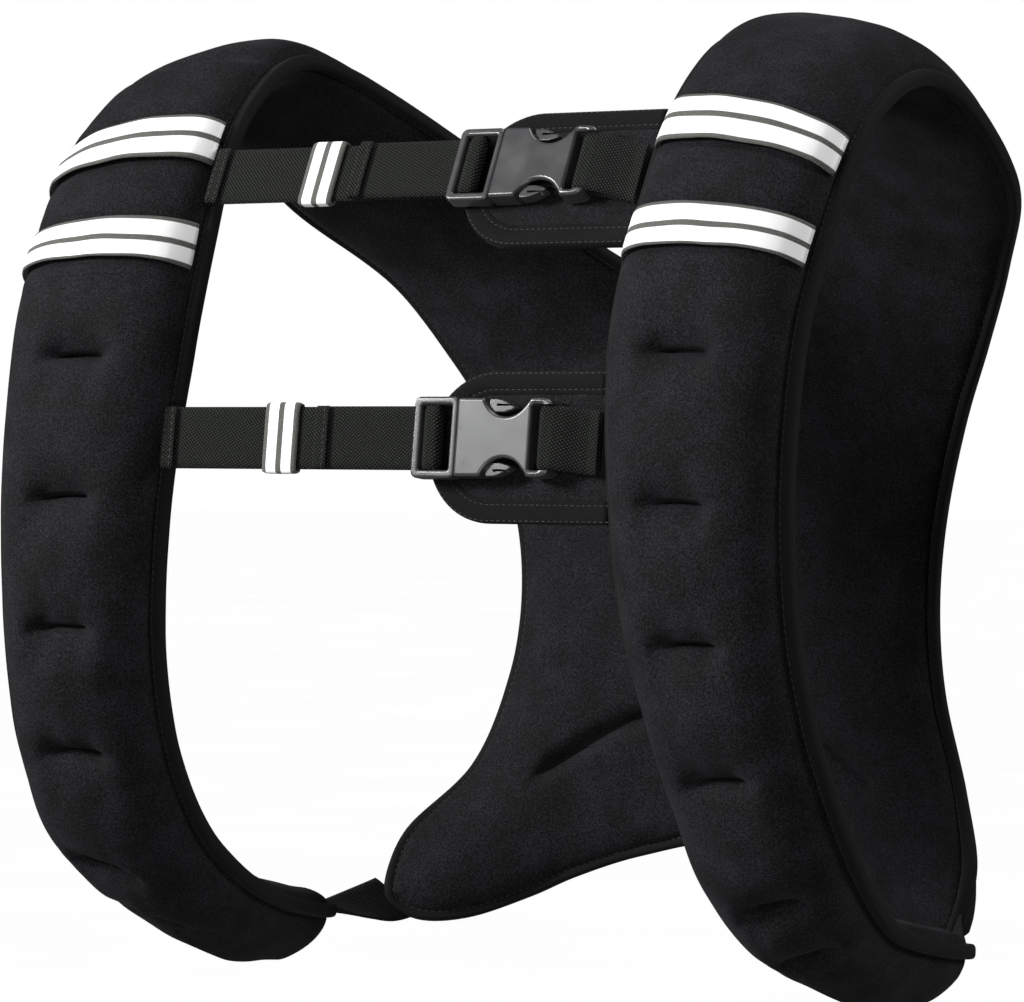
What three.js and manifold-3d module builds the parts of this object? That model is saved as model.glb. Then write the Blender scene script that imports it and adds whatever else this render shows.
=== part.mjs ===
// A padded weighted vest: a back panel that runs over both shoulders, two filled front straps that curve
// back under the arms, taped edges, reflective bands, and two chest straps with side-release buckles.
// Millimetres. +X is the wearer's left, -Y the front, +Z up. The origin is where the vest sits on the
// shoulders: mid-width, under the shoulder padding at the shoulder line.
import * as THREE from 'three';
import Module from 'manifold-3d';
import { mergeVertices } from 'three/addons/utils/BufferGeometryUtils.js';

const wasm = await Module();
wasm.setup();

// How finely the padding is drawn
const strapOuterColumns = 10;
const strapBodyColumns = 5;
const panelColumns = 7;
const strapRowStep = 16;
const panelRowStep = 14;
const tapeSag = 0.4;
const sideWebSteps = 12;
const turnSteps = 8;
const foldSteps = 4;
const padEndSteps = 14;
const padSeamSteps = 4;

// Overall form, and how far the middle of the edge tape lies inside the sections' outline
const shoulderHalfWidth = 190;
const frontReach = 100;
const backReach = 168;
const hangDepth = 350;
const outlineInset = 4;

// Padding
const edgeThickness = 4.4;
const outerLoft = 21.5;
const bodyLoft = 9;
const padRoll = 44;
const rollPower = 2.4;

// Edge tape
const tapeDepth = 5;
const tapeThickness = 7.2;
const seamGap = 0.3;

// Cross stitches that pull the straps in, and the sewn arch on the body side of the back panel
const stitchDepth = 4.5;
const stitchHeight = 4;
const dimpleDepth = 5.5;
const dimpleHeight = 11;
const dimpleHalfWidth = 17;
const archDepth = 4.5;
const archWidth = 5;
const archTop = -0.73 * hangDepth;
const archHalfSpan = 0.474 * shoulderHalfWidth;
const archDrop = 0.109 * hangDepth;
const foldDepth = 3;
const foldWidth = 6;

// Reflective bands
const bandWidth = 19;
const bandThickness = 1.5;
const bandLift = 0.6;
const bandEndInset = 0.8;

// Webbing and keepers
const webWidth = 25;
const webThickness = 1.4;
const tabLength = 6.4;
const hemLength = 6.2;
const keeperWidth = 16.5;
const keeperThickness = 1.5;
const tabPast = 1.2;
const clearance = 0.3;
const neckClearance = 0.6;
const sideWebSag = 3;
const webSettle = 6;

// Side-release buckle
const frameLength = 20.5;
const frameHeight = 32;
const frameThickness = 7;
const frameSetBack = 0.8;
const outerBarWidth = 3.5;
const innerWallWidth = 3;
const crossBar = 2.4;
const crossBarInset = 9.6;
const socketLength = 34.3;
const socketHeight = 30.8;
const socketThickness = 9;
const pocketThickness = 5.6;
const pocketDepth = 30;
const pocketWall = 2.2;
const scallopRadius = 10.8;
const scallopDepth = 7.4;
const scallopCentre = 22.5;
const slotWidth = 4.7;
const endBar = 5;
const endBarThickness = 3;
const latchStart = 13.6;
const latchTip = 25.5;
const latchReach = 15.2;
const armInner = 9.8;

// Buckle pads
const padAbove = 27;
const padBelow = 32.5;
const padTapeWidth = 9.5;
const padThickness = 5;
const padLead = 19;
const padClearance = 0.5;

// Sections of one side, from the strap's tip over the shoulder to the hem. X is a share of the half width,
// Y of the front reach where negative and of the back reach where positive, Z of the hang depth.
// loft and body are shares of the outer and the body-side padding. The inner edge is the neck side.
const sections = [
  { inX: 0.842, inY: 0.512, inZ: -0.991, outX: 0.842, outY: 0.512, outZ: -0.991, loft: 1.0, body: 1.2 },
  { inX: 0.77, inY: 0.484, inZ: -0.992, outX: 0.912, outY: 0.447, outZ: -0.989, loft: 1.0, body: 1.2 },
  { inX: 0.722, inY: 0.35, inZ: -0.986, outX: 0.935, outY: 0.27, outZ: -0.979, loft: 1.2, body: 1.1 },
  { inX: 0.668, inY: 0.107, inZ: -0.964, outX: 0.958, outY: 0.0, outZ: -0.951, loft: 1.32, body: 1.0 },
  { inX: 0.621, inY: -0.22, inZ: -0.926, outX: 1.005, outY: -0.38, outZ: -0.903, loft: 1.26, body: 1.0 },
  { inX: 0.613, inY: -0.52, inZ: -0.866, outX: 1.032, outY: -0.66, outZ: -0.843, loft: 1.12, body: 1.0 },
  { inX: 0.608, inY: -0.73, inZ: -0.783, outX: 1.026, outY: -0.83, outZ: -0.766, loft: 1.0, body: 1.0 },
  { inX: 0.592, inY: -0.87, inZ: -0.694, outX: 1.013, outY: -0.93, outZ: -0.691, loft: 1.0, body: 1.0 },
  { inX: 0.568, inY: -0.96, inZ: -0.594, outX: 1.0, outY: -1.0, outZ: -0.594, loft: 1.0, body: 1.0 },
  { inX: 0.542, inY: -0.975, inZ: -0.457, outX: 0.995, outY: -1.02, outZ: -0.463, loft: 1.0, body: 1.0 },
  { inX: 0.518, inY: -0.91, inZ: -0.32, outX: 0.997, outY: -0.96, outZ: -0.323, loft: 1.0, body: 1.0 },
  { inX: 0.516, inY: -0.8, inZ: -0.211, outX: 1.005, outY: -0.85, outZ: -0.223, loft: 0.97, body: 0.95 },
  { inX: 0.532, inY: -0.56, inZ: -0.057, outX: 1.013, outY: -0.6, outZ: -0.1, loft: 0.86, body: 0.9 },
  { inX: 0.537, inY: -0.3, inZ: 0.023, outX: 1.008, outY: -0.32, outZ: -0.029, loft: 0.75, body: 0.85 },
  { inX: 0.537, inY: -0.04, inZ: 0.056, outX: 1.0, outY: 0.036, outZ: 0.005, loft: 0.7, body: 0.8 },
  { inX: 0.534, inY: 0.167, inZ: 0.047, outX: 0.987, outY: 0.286, outZ: -0.023, loft: 0.68, body: 0.8 },
  { inX: 0.516, inY: 0.429, inZ: 0.006, outX: 0.953, outY: 0.571, outZ: -0.111, loft: 0.66, body: 0.8 },
  { inX: 0.379, inY: 0.714, inZ: -0.086, outX: 0.826, outY: 0.798, outZ: -0.197, loft: 0.64, body: 0.8 },
  { inX: 0.216, inY: 0.875, inZ: -0.171, outX: 0.726, outY: 0.905, outZ: -0.289, loft: 0.62, body: 0.85 },
  { inX: 0.0, inY: 0.97, inZ: -0.226, outX: 0.642, outY: 0.964, outZ: -0.38, loft: 0.6, body: 0.9 },
  { inX: 0.0, inY: 0.988, inZ: -0.371, outX: 0.579, outY: 0.994, outZ: -0.5, loft: 0.6, body: 0.95 },
  { inX: 0.0, inY: 1.0, inZ: -0.514, outX: 0.563, outY: 0.994, outZ: -0.609, loft: 0.6, body: 1.0 },
  { inX: 0.0, inY: 1.003, inZ: -0.643, outX: 0.589, outY: 0.973, outZ: -0.711, loft: 0.6, body: 1.0 },
  { inX: 0.0, inY: 1.003, inZ: -0.749, outX: 0.663, outY: 0.923, outZ: -0.82, loft: 0.6, body: 1.0 },
  { inX: 0.0, inY: 1.003, inZ: -0.837, outX: 0.76, outY: 0.755, outZ: -0.9, loft: 0.6, body: 1.0 },
  { inX: 0.0, inY: 0.994, inZ: -0.909, outX: 0.764, outY: 0.66, outZ: -0.974, loft: 0.6, body: 1.0 },
];
const neckSection = sections.findIndex((s) => s.inX === 0);
const hemSection = sections.length - 1;

// Hem of one side from the centre to the lower corner, in the same shares
const hemPoints = [
  { x: 0.0, y: 0.994, z: -0.909 },
  { x: 0.214, y: 0.97, z: -0.931 },
  { x: 0.363, y: 0.923, z: -0.959 },
  { x: 0.461, y: 0.875, z: -0.985 },
  { x: 0.572, y: 0.792, z: -1.01 },
  { x: 0.66, y: 0.72, z: -1.016 },
  { x: 0.725, y: 0.68, z: -1.004 },
  { x: 0.764, y: 0.66, z: -0.974 },
];

// Cross stitches of a strap: where they lie along the section table and across the strap
const stitches = [
  { section: 3.95, across: 0.59 },
  { section: 4.8, across: 0.58 },
  { section: 6.35, across: 0.5 },
  { section: 7.85, across: 0.5 },
  { section: 8.95, across: 0.5 },
  { section: 10.1, across: 0.5 },
];

// The upper bands hide the seam between the straps and the back panel
const bands = [
  { name: 'upper_band', section: 12 },
  { name: 'lower_band', section: 11.2 },
];
const seamSection = bands[0].section;

// The crease across the wearer's right shoulder, and where a side web meets the back panel's lower corner
const shoulderFold = { section: 13.35, slant: -0.3 };
const sideWebCorner = { hemShare: 0.92 };

// Chest straps: where they cross the neck edges, the short web's reach as a share of its width, and the
// keeper and the tail's end as shares of the half gap between the neck edges
const chestStraps = [
  { name: 'upper', section: 11.72, shortReach: 1.02, keeperAt: -0.48, tailAt: -0.321 },
  { name: 'lower', section: 9.42, shortReach: 0.9, keeperAt: -0.448, tailAt: -0.28 },
];

const neoprene = new THREE.MeshStandardMaterial({ color: 0x26262c, roughness: 0.92, metalness: 0 });
const edgeTape = new THREE.MeshStandardMaterial({ color: 0x20221e, roughness: 0.8, metalness: 0 });
const webbing = new THREE.MeshStandardMaterial({ color: 0x2d322d, roughness: 0.85, metalness: 0 });
const reflective = new THREE.MeshStandardMaterial({ color: 0xeeeeee, roughness: 0.35, metalness: 0 });
const elastic = new THREE.MeshStandardMaterial({ color: 0x646762, roughness: 0.75, metalness: 0 });
const buckleGrey = new THREE.MeshStandardMaterial({ color: 0x87898c, roughness: 0.3, metalness: 0.2 });

const range = (first, last) => Array.from({ length: last - first + 1 }, (_, k) => first + k);
const vec = (x, y, z) => new THREE.Vector3(x, y, z);
const mirrored = (p) => vec(-p.x, p.y, p.z);
const smooth = (s) => THREE.MathUtils.smoothstep(s, 0, 1);

function fromShares(x, y, z) {
  return vec(x * shoulderHalfWidth, y * (y < 0 ? frontReach : backReach), z * hangDepth);
}

// A smooth curve through a list of points, read by position in the list, with a chosen point past each end
function curveThrough(points, before, after) {
  const all = [before ?? points[0].clone().multiplyScalar(2).sub(points[1]), ...points];
  const last = points.length - 1;
  all.push(after ?? points[last].clone().multiplyScalar(2).sub(points[last - 1]));
  return (t) => {
    const k = THREE.MathUtils.clamp(Math.floor(t), 0, last - 1);
    const f = t - k;
    const [a, b, c, d] = all.slice(k, k + 4);
    const out = b.clone().multiplyScalar(2);
    out.addScaledVector(c.clone().sub(a), f);
    const square = a.clone().multiplyScalar(2).addScaledVector(b, -5).addScaledVector(c, 4).sub(d);
    out.addScaledVector(square, f * f);
    const cube = b.clone().multiplyScalar(3).sub(a).addScaledVector(c, -3).add(d);
    return out.addScaledVector(cube, f * f * f).multiplyScalar(0.5);
  };
}

function columnAt(column, t) {
  const k = THREE.MathUtils.clamp(Math.floor(t), 0, hemSection - 1);
  return THREE.MathUtils.lerp(sections[k][column], sections[k + 1][column], smooth(t - k));
}

// The sheet midway through the padding of the +X side. inset draws in the outline of frameSheet.
function makeSheet(inset, frameSheet) {
  const inner = sections.map((s) => fromShares(s.inX, s.inY, s.inZ));
  const outer = sections.map((s) => fromShares(s.outX, s.outY, s.outZ));
  const hem = hemPoints.map((p) => fromShares(p.x, p.y, p.z));
  const neck = inner.slice(0, neckSection + 1);
  const neckCurve = curveThrough(neck, outer[1], mirrored(inner[neckSection - 1]));
  const spineCurve = curveThrough(inner.slice(neckSection));
  const outerCurve = curveThrough(outer, inner[1], hem[hem.length - 2]);
  const hemCurve = curveThrough(hem, mirrored(hem[1]), outer[hemSection - 1]);

  const sheet = {};
  const innerLine = (t) => (t <= neckSection ? neckCurve(t) : spineCurve(t - neckSection));
  const hemLine = (u) => hemCurve(u * (hem.length - 1));
  if (!frameSheet) {
    sheet.inner = innerLine;
    sheet.outer = outerCurve;
    sheet.hem = hemLine;
  } else {
    const spineLength = hemSection - neckSection;
    sheet.inner = (t) => {
      if (t <= neckSection) return innerLine(t).addScaledVector(frameSheet.inward('inner', t), inset);
      const point = innerLine(t);
      point.z += inset * (2 * (t - neckSection) / spineLength - 1);
      return point;
    };
    sheet.outer = (t) => outerCurve(t).addScaledVector(frameSheet.inward('outer', t), inset);
    sheet.hem = (u) => hemLine(u).addScaledVector(frameSheet.inward('hem', u), inset);
  }

  const row = (t, u) => {
    const a = sheet.inner(t);
    const b = sheet.outer(t);
    const roundness = 1 + 1.2 * smooth((t - seamSection - 4) / (neckSection - seamSection - 3));
    const bend = Math.pow(u, roundness);
    return vec(a.x + (b.x - a.x) * u, a.y + (b.y - a.y) * bend, a.z + (b.z - a.z) * u);
  };
  sheet.at = (t, u) => {
    const point = row(t, u);
    const start = neckSection + 1;
    if (t <= start) return point;
    const share = Math.pow((t - start) / (hemSection - start), 1.5);
    return point.addScaledVector(sheet.hem(u).sub(row(hemSection, u)), share);
  };
  sheet.normal = (t, u) => {
    const step = 0.02;
    const s = THREE.MathUtils.clamp(t, 0.6, hemSection - 0.4);
    const v = 0.5 + THREE.MathUtils.clamp(u - 0.5, -0.4, 0.4) * Math.min(t / 0.6, 1);
    const along = sheet.at(s + step, v).sub(sheet.at(s - step, v));
    const across = sheet.at(s, v + step).sub(sheet.at(s, v - step));
    const normal = across.cross(along);
    const spine = smooth(t - neckSection + 1);
    normal.x *= THREE.MathUtils.lerp(1, smooth(u / 0.2), spine);
    return normal.normalize();
  };
  const linePoint = { inner: (t) => sheet.inner(t), outer: (t) => sheet.outer(t), hem: (u) => sheet.hem(u) };
  const lineU = { inner: 0, outer: 1 };
  sheet.tangent = (kind, t) => {
    const step = 0.01;
    if (kind === 'inner' && t > neckSection - step) return vec(-1, 0, 0);
    if (kind === 'hem' && t < step) return vec(1, 0, 0);
    return linePoint[kind](t + step).sub(linePoint[kind](t - step)).normalize();
  };
  sheet.edgeNormal = (kind, t) => {
    if (kind === 'hem') return sheet.normal(hemSection, t);
    return sheet.normal(t, lineU[kind]);
  };
  sheet.inward = (kind, t) => {
    const side = sheet.edgeNormal(kind, t).cross(sheet.tangent(kind, t)).normalize();
    const start = linePoint[kind](t);
    let inside = sheet.at(Math.max(t, 1.5), 0.5);
    if (kind === 'hem') inside = sheet.at(hemSection - 1.5, Math.min(t, 0.75));
    else if (kind === 'outer' && t > hemSection - 1) inside = sheet.at(hemSection - 1, 0.7);
    return side.dot(inside.sub(start)) < 0 ? side.negate() : side;
  };
  return sheet;
}

const outlineSheet = makeSheet(0, null);
const edgeSheet = makeSheet(outlineInset, outlineSheet);
const padSheet = makeSheet(outlineInset + tapeDepth / 2 + seamGap, outlineSheet);

// Millimetres along the padding for one step of the section table
function speedAt(t) {
  const step = 0.05;
  return padSheet.at(t + step, 0.5).distanceTo(padSheet.at(t - step, 0.5)) / (2 * step);
}

// Outline of the padding, for how far a point lies from the nearest edge
const outlineSamples = [];
for (let t = 0; t <= hemSection; t += 0.1) {
  if (t <= neckSection) outlineSamples.push(padSheet.inner(t));
  outlineSamples.push(padSheet.outer(t));
}
for (let u = 0; u <= 1; u += 0.04) outlineSamples.push(padSheet.hem(u));
outlineSamples.push(...outlineSamples.filter((p) => p.x < padRoll).map(mirrored));

function edgeDistance(t, u) {
  const point = padSheet.at(t, u);
  const nearest = Math.min(...outlineSamples.map((p) => p.distanceToSquared(point)));
  const width = padSheet.inner(t).distanceTo(padSheet.outer(t));
  const sideways = Math.min(t > neckSection ? Infinity : u * width, (1 - u) * width);
  return Math.min(Math.sqrt(nearest), sideways);
}

function puff(distance) {
  const rim = 1 - Math.min(distance / padRoll, 1);
  return Math.sqrt(Math.max(0, 1 - Math.pow(rim, rollPower)));
}

const bell = (distance, width) => Math.exp(-((distance / width) ** 2));

function stitchPull(t, u) {
  let pull = 0;
  for (const stitch of stitches) {
    const centre = padSheet.at(stitch.section, stitch.across);
    const width = padSheet.inner(stitch.section).distanceTo(padSheet.outer(stitch.section));
    const aside = (u - stitch.across) * width;
    const along = padSheet.at(t, stitch.across).distanceTo(centre);
    const across = Math.exp(-((aside / dimpleHalfWidth) ** 4));
    pull += across * (stitchDepth * bell(along, stitchHeight) + dimpleDepth * bell(along, dimpleHeight));
  }
  return pull;
}

// The crease across the wearer's right shoulder
function foldPull(t, u) {
  const away = (t - shoulderFold.section - shoulderFold.slant * u) * speedAt(shoulderFold.section);
  return foldDepth * bell(away, foldWidth);
}

function outerHeight(t, u, folded) {
  const edge = puff(edgeDistance(t, u));
  let pull = 0;
  if (t < seamSection) pull = stitchPull(t, u);
  else if (folded) pull = foldPull(t, u);
  return edgeThickness / 2 + edge * Math.max(0, outerLoft * columnAt('loft', t) - pull);
}

function bodyHeight(t, u) {
  const edge = puff(edgeDistance(t, u));
  let pull = 0;
  if (t > neckSection) {
    const point = padSheet.at(t, u);
    const share = Math.min(point.x / archHalfSpan, 1);
    const arch = archTop - archDrop * share * share;
    pull = point.x < archHalfSpan ? archDepth * bell(point.z - arch, archWidth) : 0;
  }
  return edgeThickness / 2 + edge * Math.max(0, bodyLoft * columnAt('body', t) - pull);
}

function raised(t, u, height) {
  const point = padSheet.at(t, u).addScaledVector(padSheet.normal(t, u), height);
  if (u === 0 && t >= neckSection) point.x = 0;
  return point;
}

// The strap's tip is one point, so its place across doesn't count
const tipped = (t, u) => (t === 0 ? 0.5 : u);
const outerPoint = (t, u, folded) => raised(t, tipped(t, u), outerHeight(t, tipped(t, u), folded));
const bodyPoint = (t, u) => raised(t, tipped(t, u), -bodyHeight(t, tipped(t, u)));

// Closed bodies from triangles
class Body {
  constructor() {
    this.values = [];
  }

  triangle(a, b, c) {
    const tiny = 1e-6;
    const sides = [a.distanceToSquared(b), b.distanceToSquared(c), a.distanceToSquared(c)];
    if (Math.min(...sides) < tiny) return;
    this.values.push(a.x, a.y, a.z, b.x, b.y, b.z, c.x, c.y, c.z);
  }

  quad(a, b, c, d) {
    this.triangle(a, b, c);
    this.triangle(a, c, d);
  }

  face(grid) {
    for (let r = 0; r + 1 < grid.length; r += 1) {
      for (let k = 0; k + 1 < grid[r].length; k += 1) {
        this.quad(grid[r][k], grid[r][k + 1], grid[r + 1][k + 1], grid[r + 1][k]);
      }
    }
  }

  // A strip between two rows of points that run the same way
  strip(a, b) {
    let i = 0;
    let j = 0;
    while (i + 1 < a.length || j + 1 < b.length) {
      const stepA = j + 1 >= b.length || (i + 1 < a.length && (i + 1) / a.length <= (j + 1) / b.length);
      if (stepA) {
        this.triangle(a[i], b[j], a[i + 1]);
        i += 1;
      } else {
        this.triangle(a[i], b[j], b[j + 1]);
        j += 1;
      }
    }
  }

  geometry() {
    const geometry = new THREE.BufferGeometry();
    geometry.setAttribute('position', new THREE.Float32BufferAttribute(this.values, 3));
    return mergeVertices(geometry, 1e-4);
  }
}

const reversed = (row) => row.slice().reverse();
const column = (grid, k) => grid.map((row) => row.at(k));

// Skins of a padded body: two faces and the walls round them. The inner wall has that many rows.
function paddedBody(body, outerGrid, bodyGrid, innerWall) {
  body.face(outerGrid);
  body.face(bodyGrid.map(reversed));
  body.strip(column(bodyGrid, 0).slice(0, innerWall), column(outerGrid, 0).slice(0, innerWall));
  body.strip(column(outerGrid, -1), column(bodyGrid, -1));
  body.strip(outerGrid[0], bodyGrid[0]);
  body.strip(bodyGrid.at(-1), outerGrid.at(-1));
}

function mirrorValues(values) {
  const out = [];
  for (let k = 0; k < values.length; k += 9) {
    const [a, b, c] = [values.slice(k, k + 3), values.slice(k + 3, k + 6), values.slice(k + 6, k + 9)];
    for (const p of [a, c, b]) out.push(-p[0], p[1], p[2]);
  }
  return out;
}

const acrossSteps = (count) => Array.from({ length: count + 1 }, (_, k) => {
  const s = k / count;
  return (s + (1 - Math.cos(Math.PI * s)) / 2) / 2;
});
const acrossFromSpine = (count) => Array.from({ length: count + 1 }, (_, k) => {
  const s = k / count;
  return (s + Math.sin(Math.PI * s / 2)) / 2;
});

// Stations along the section table: the given ones, and enough between them that no step is too long
function stations(fixed, longestStep) {
  const out = [];
  for (let k = 0; k + 1 < fixed.length; k += 1) {
    const length = padSheet.at(fixed[k], 0.5).distanceTo(padSheet.at(fixed[k + 1], 0.5));
    const parts = Math.max(1, Math.ceil(length / longestStep));
    for (let j = 0; j < parts; j += 1) out.push(fixed[k] + (fixed[k + 1] - fixed[k]) * j / parts);
  }
  out.push(fixed.at(-1));
  return out;
}

const seamHalf = seamGap / 2 / speedAt(seamSection);

function strapStations() {
  const fixed = [0, 0.12, 0.35, 0.65, 1];
  for (const stitch of stitches) {
    const speed = speedAt(stitch.section);
    for (const offset of [-dimpleHeight, -stitchHeight / 1.6, stitchHeight / 1.6, dimpleHeight]) {
      fixed.push(stitch.section + offset / speed);
    }
  }
  fixed.push(seamSection - seamHalf);
  return stations(fixed, strapRowStep);
}

function strapGeometry(flip) {
  const rows = strapStations();
  const outerGrid = rows.map((t) => acrossSteps(strapOuterColumns).map((u) => outerPoint(t, u, false)));
  const bodyGrid = rows.map((t) => acrossSteps(strapBodyColumns).map((u) => bodyPoint(t, u)));
  const body = new Body();
  paddedBody(body, outerGrid, bodyGrid, rows.length);
  if (flip) body.values = mirrorValues(body.values);
  return body.geometry();
}

function yokeStations() {
  return stations([seamSection + seamHalf, ...range(seamSection + 1, neckSection)], panelRowStep);
}

function backStations() {
  return stations(range(neckSection, hemSection), panelRowStep);
}

function panelHalfValues(folded) {
  const yoke = yokeStations();
  const rows = [...yoke, ...backStations().slice(1)];
  const outerGrid = rows.map((t) => acrossFromSpine(panelColumns).map((u) => outerPoint(t, u, folded)));
  const bodyGrid = rows.map((t) => acrossFromSpine(panelColumns).map((u) => bodyPoint(t, u)));
  const body = new Body();
  paddedBody(body, outerGrid, bodyGrid, yoke.length);
  return body;
}

function panelGeometry() {
  const left = panelHalfValues(false);
  const right = panelHalfValues(true);
  left.values.push(...mirrorValues(right.values));
  return left.geometry();
}

// Walls from each section ring to the next
function ringWalls(body, rings) {
  for (let r = 0; r + 1 < rings.length; r += 1) {
    const size = rings[r].length;
    for (let k = 0; k < size; k += 1) {
      const next = (k + 1) % size;
      body.quad(rings[r][k], rings[r][next], rings[r + 1][next], rings[r + 1][k]);
    }
  }
}

// A run of section rings with flat ends
function sweptGeometry(rings) {
  const body = new Body();
  ringWalls(body, rings);
  const [first, last] = [rings[0], rings.at(-1)];
  for (let k = 1; k + 1 < first.length; k += 1) {
    body.triangle(first[0], first[k + 1], first[k]);
    body.triangle(last[0], last[k], last[k + 1]);
  }
  return body.geometry();
}

// Section of the edge tape: flat towards the padding, rounded outside. out is a share of half its depth
// away from the padding, up a share of half its thickness.
const tapeSection = [
  { out: -0.85, up: 0.84 },
  { out: 0.4, up: 1 },
  { out: 1, up: 0.5 },
  { out: 1, up: -0.5 },
  { out: 0.4, up: -1 },
  { out: -0.85, up: -0.84 },
];

function tapeRing(kind, t) {
  const point = edgeSheet[kind](t);
  const inward = outlineSheet.inward(kind, t);
  const normal = inward.clone().cross(outlineSheet.tangent(kind, t)).normalize();
  if (normal.dot(outlineSheet.edgeNormal(kind, t)) < 0) normal.negate();
  return tapeSection.map((c) => point.clone()
    .addScaledVector(inward, -c.out * tapeDepth / 2)
    .addScaledVector(normal, c.up * tapeThickness / 2));
}

// Keeps every station that a straight run of tape would miss by more than the allowed sag
function withoutStraights(kind, run) {
  const points = run.map((t) => padSheet[kind](t));
  const kept = [run[0]];
  let start = 0;
  for (let end = 2; end < run.length; end += 1) {
    const line = new THREE.Line3(points[start], points[end]);
    const missed = points.slice(start + 1, end)
      .some((p) => line.closestPointToPoint(p, true, vec(0, 0, 0)).distanceTo(p) > tapeSag);
    if (missed) {
      start = end - 1;
      kept.push(run[start]);
    }
  }
  return [...kept, run.at(-1)];
}

function tapeGeometry() {
  const rows = [...strapStations(), ...yokeStations(), ...backStations().slice(1)];
  const neckRows = rows.filter((t) => t <= neckSection);
  const hemRun = withoutStraights('hem', acrossFromSpine(panelColumns));
  const half = [
    ...hemRun.slice(0, -1).map((u) => tapeRing('hem', u)),
    ...withoutStraights('outer', rows).reverse().map((t) => tapeRing('outer', t)),
    ...withoutStraights('inner', neckRows).slice(1).map((t) => tapeRing('inner', t)),
  ];
  const body = new Body();
  ringWalls(body, half.reverse());
  body.values.push(...mirrorValues(body.values));
  return body.geometry();
}

// A reflective band lies over the padding from edge to edge
function surfaceNormal(t, u) {
  const step = 0.004;
  const v = THREE.MathUtils.clamp(u, step, 1 - step);
  const along = outerPoint(t + step, v, false).sub(outerPoint(t - step, v, false));
  const across = outerPoint(t, v + step, false).sub(outerPoint(t, v - step, false));
  return across.cross(along).normalize();
}

function bandGeometry(section, flip) {
  const width = padSheet.inner(section).distanceTo(padSheet.outer(section));
  const end = bandEndInset / width;
  const columns = [end, ...acrossSteps(strapOuterColumns).slice(1, -1), 1 - end];
  const halfSpan = bandWidth / 2 / speedAt(section);
  const rows = [section - halfSpan, section, section + halfSpan];
  const rings = columns.map((u) => {
    const at = (t, lift) => outerPoint(t, u, false).addScaledVector(surfaceNormal(t, u), lift);
    const layer = (lift) => rows.map((t) => at(t, lift));
    return [...layer(bandLift), ...layer(bandLift + bandThickness).reverse()];
  });
  if (flip) return sweptGeometry(rings.reverse().map((ring) => ring.map(mirrored)));
  return sweptGeometry(rings);
}

// A short web joins each strap's tip to the lower corner of the back panel, turning on the way
function sideWebGeometry(flip) {
  const clear = tapeDepth / 2 + neckClearance;
  const tip = edgeSheet.inner(0).addScaledVector(edgeSheet.inward('inner', 0), -clear);
  const tipAcross = edgeSheet.outer(1).sub(edgeSheet.inner(1)).normalize();
  const { hemShare } = sideWebCorner;
  const corner = edgeSheet.hem(hemShare).addScaledVector(edgeSheet.inward('hem', hemShare), -clear);
  const cornerAcross = edgeSheet.tangent('hem', hemShare);
  const steps = range(0, sideWebSteps).map((k) => k / sideWebSteps);
  const rings = steps.map((s) => {
    const centre = tip.clone().lerp(corner, s);
    centre.z -= sideWebSag * 4 * s * (1 - s);
    const across = tipAcross.clone().lerp(cornerAcross, smooth(s)).normalize().multiplyScalar(webWidth / 2);
    const along = corner.clone().sub(tip).normalize();
    const face = across.clone().cross(along).normalize().multiplyScalar(webThickness / 2);
    return [
      centre.clone().add(across).add(face),
      centre.clone().add(across).sub(face),
      centre.clone().sub(across).sub(face),
      centre.clone().sub(across).add(face),
    ];
  });
  if (flip) return sweptGeometry(rings.reverse().map((ring) => ring.map(mirrored)));
  return sweptGeometry(rings);
}

// Chest straps are drawn in a plane of their own: x across the chest, y into the body, z up the strap

// Offsets a path to both sides to give the outline of a web seen on edge
function webOutline(path) {
  const sides = [[], []];
  path.forEach((point, k) => {
    const before = path[Math.max(k - 1, 0)];
    const after = path[Math.min(k + 1, path.length - 1)];
    const a = point.clone().sub(before).normalize();
    const b = after.clone().sub(point).normalize();
    const along = a.add(b).normalize();
    const turn = k > 0 && k + 1 < path.length ? Math.max(along.dot(b), 0.5) : 1;
    const side = new THREE.Vector2(-along.y, along.x).multiplyScalar(webThickness / 2 / turn);
    sides[0].push(point.clone().add(side));
    sides[1].push(point.clone().sub(side));
  });
  return [...sides[0], ...sides[1].reverse()];
}

function webGeometry(path) {
  const shape = new THREE.Shape(webOutline(path));
  const geometry = new THREE.ExtrudeGeometry(shape, { depth: webWidth, bevelEnabled: false });
  return geometry.translate(0, 0, -webWidth / 2);
}

const point2 = (x, y) => new THREE.Vector2(x, y);

// A half turn about a centre, from the side that y points away from round to the other
function halfTurn(x, y, radius, towardsPlusX, steps = turnSteps) {
  return range(0, steps).map((k) => {
    const angle = Math.PI * k / steps;
    const sideways = Math.sin(angle) * radius * (towardsPlusX ? 1 : -1);
    return point2(x + sideways, y + Math.cos(angle) * radius);
  });
}

// A plate in the strap's plane between two depths, front first
function plate(shape, front, back, curveSegments = 2) {
  const options = { depth: back - front, bevelEnabled: false, curveSegments };
  const geometry = new THREE.ExtrudeGeometry(shape, options);
  return geometry.rotateX(Math.PI / 2).translate(0, back, 0);
}

function block(x0, x1, y0, y1, z0, z1) {
  const geometry = new THREE.BoxGeometry(x1 - x0, y1 - y0, z1 - z0);
  return geometry.translate((x0 + x1) / 2, (y0 + y1) / 2, (z0 + z1) / 2);
}

function toSolid(geometry) {
  const bare = geometry.clone();
  bare.deleteAttribute('normal');
  bare.deleteAttribute('uv');
  const merged = mergeVertices(bare, 1e-4);
  const index = merged.index ? merged.index.array : merged.attributes.position.array.keys();
  return new wasm.Manifold(new wasm.Mesh({
    numProp: 3,
    vertProperties: new Float32Array(merged.attributes.position.array),
    triVerts: new Uint32Array(index),
  }));
}

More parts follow.
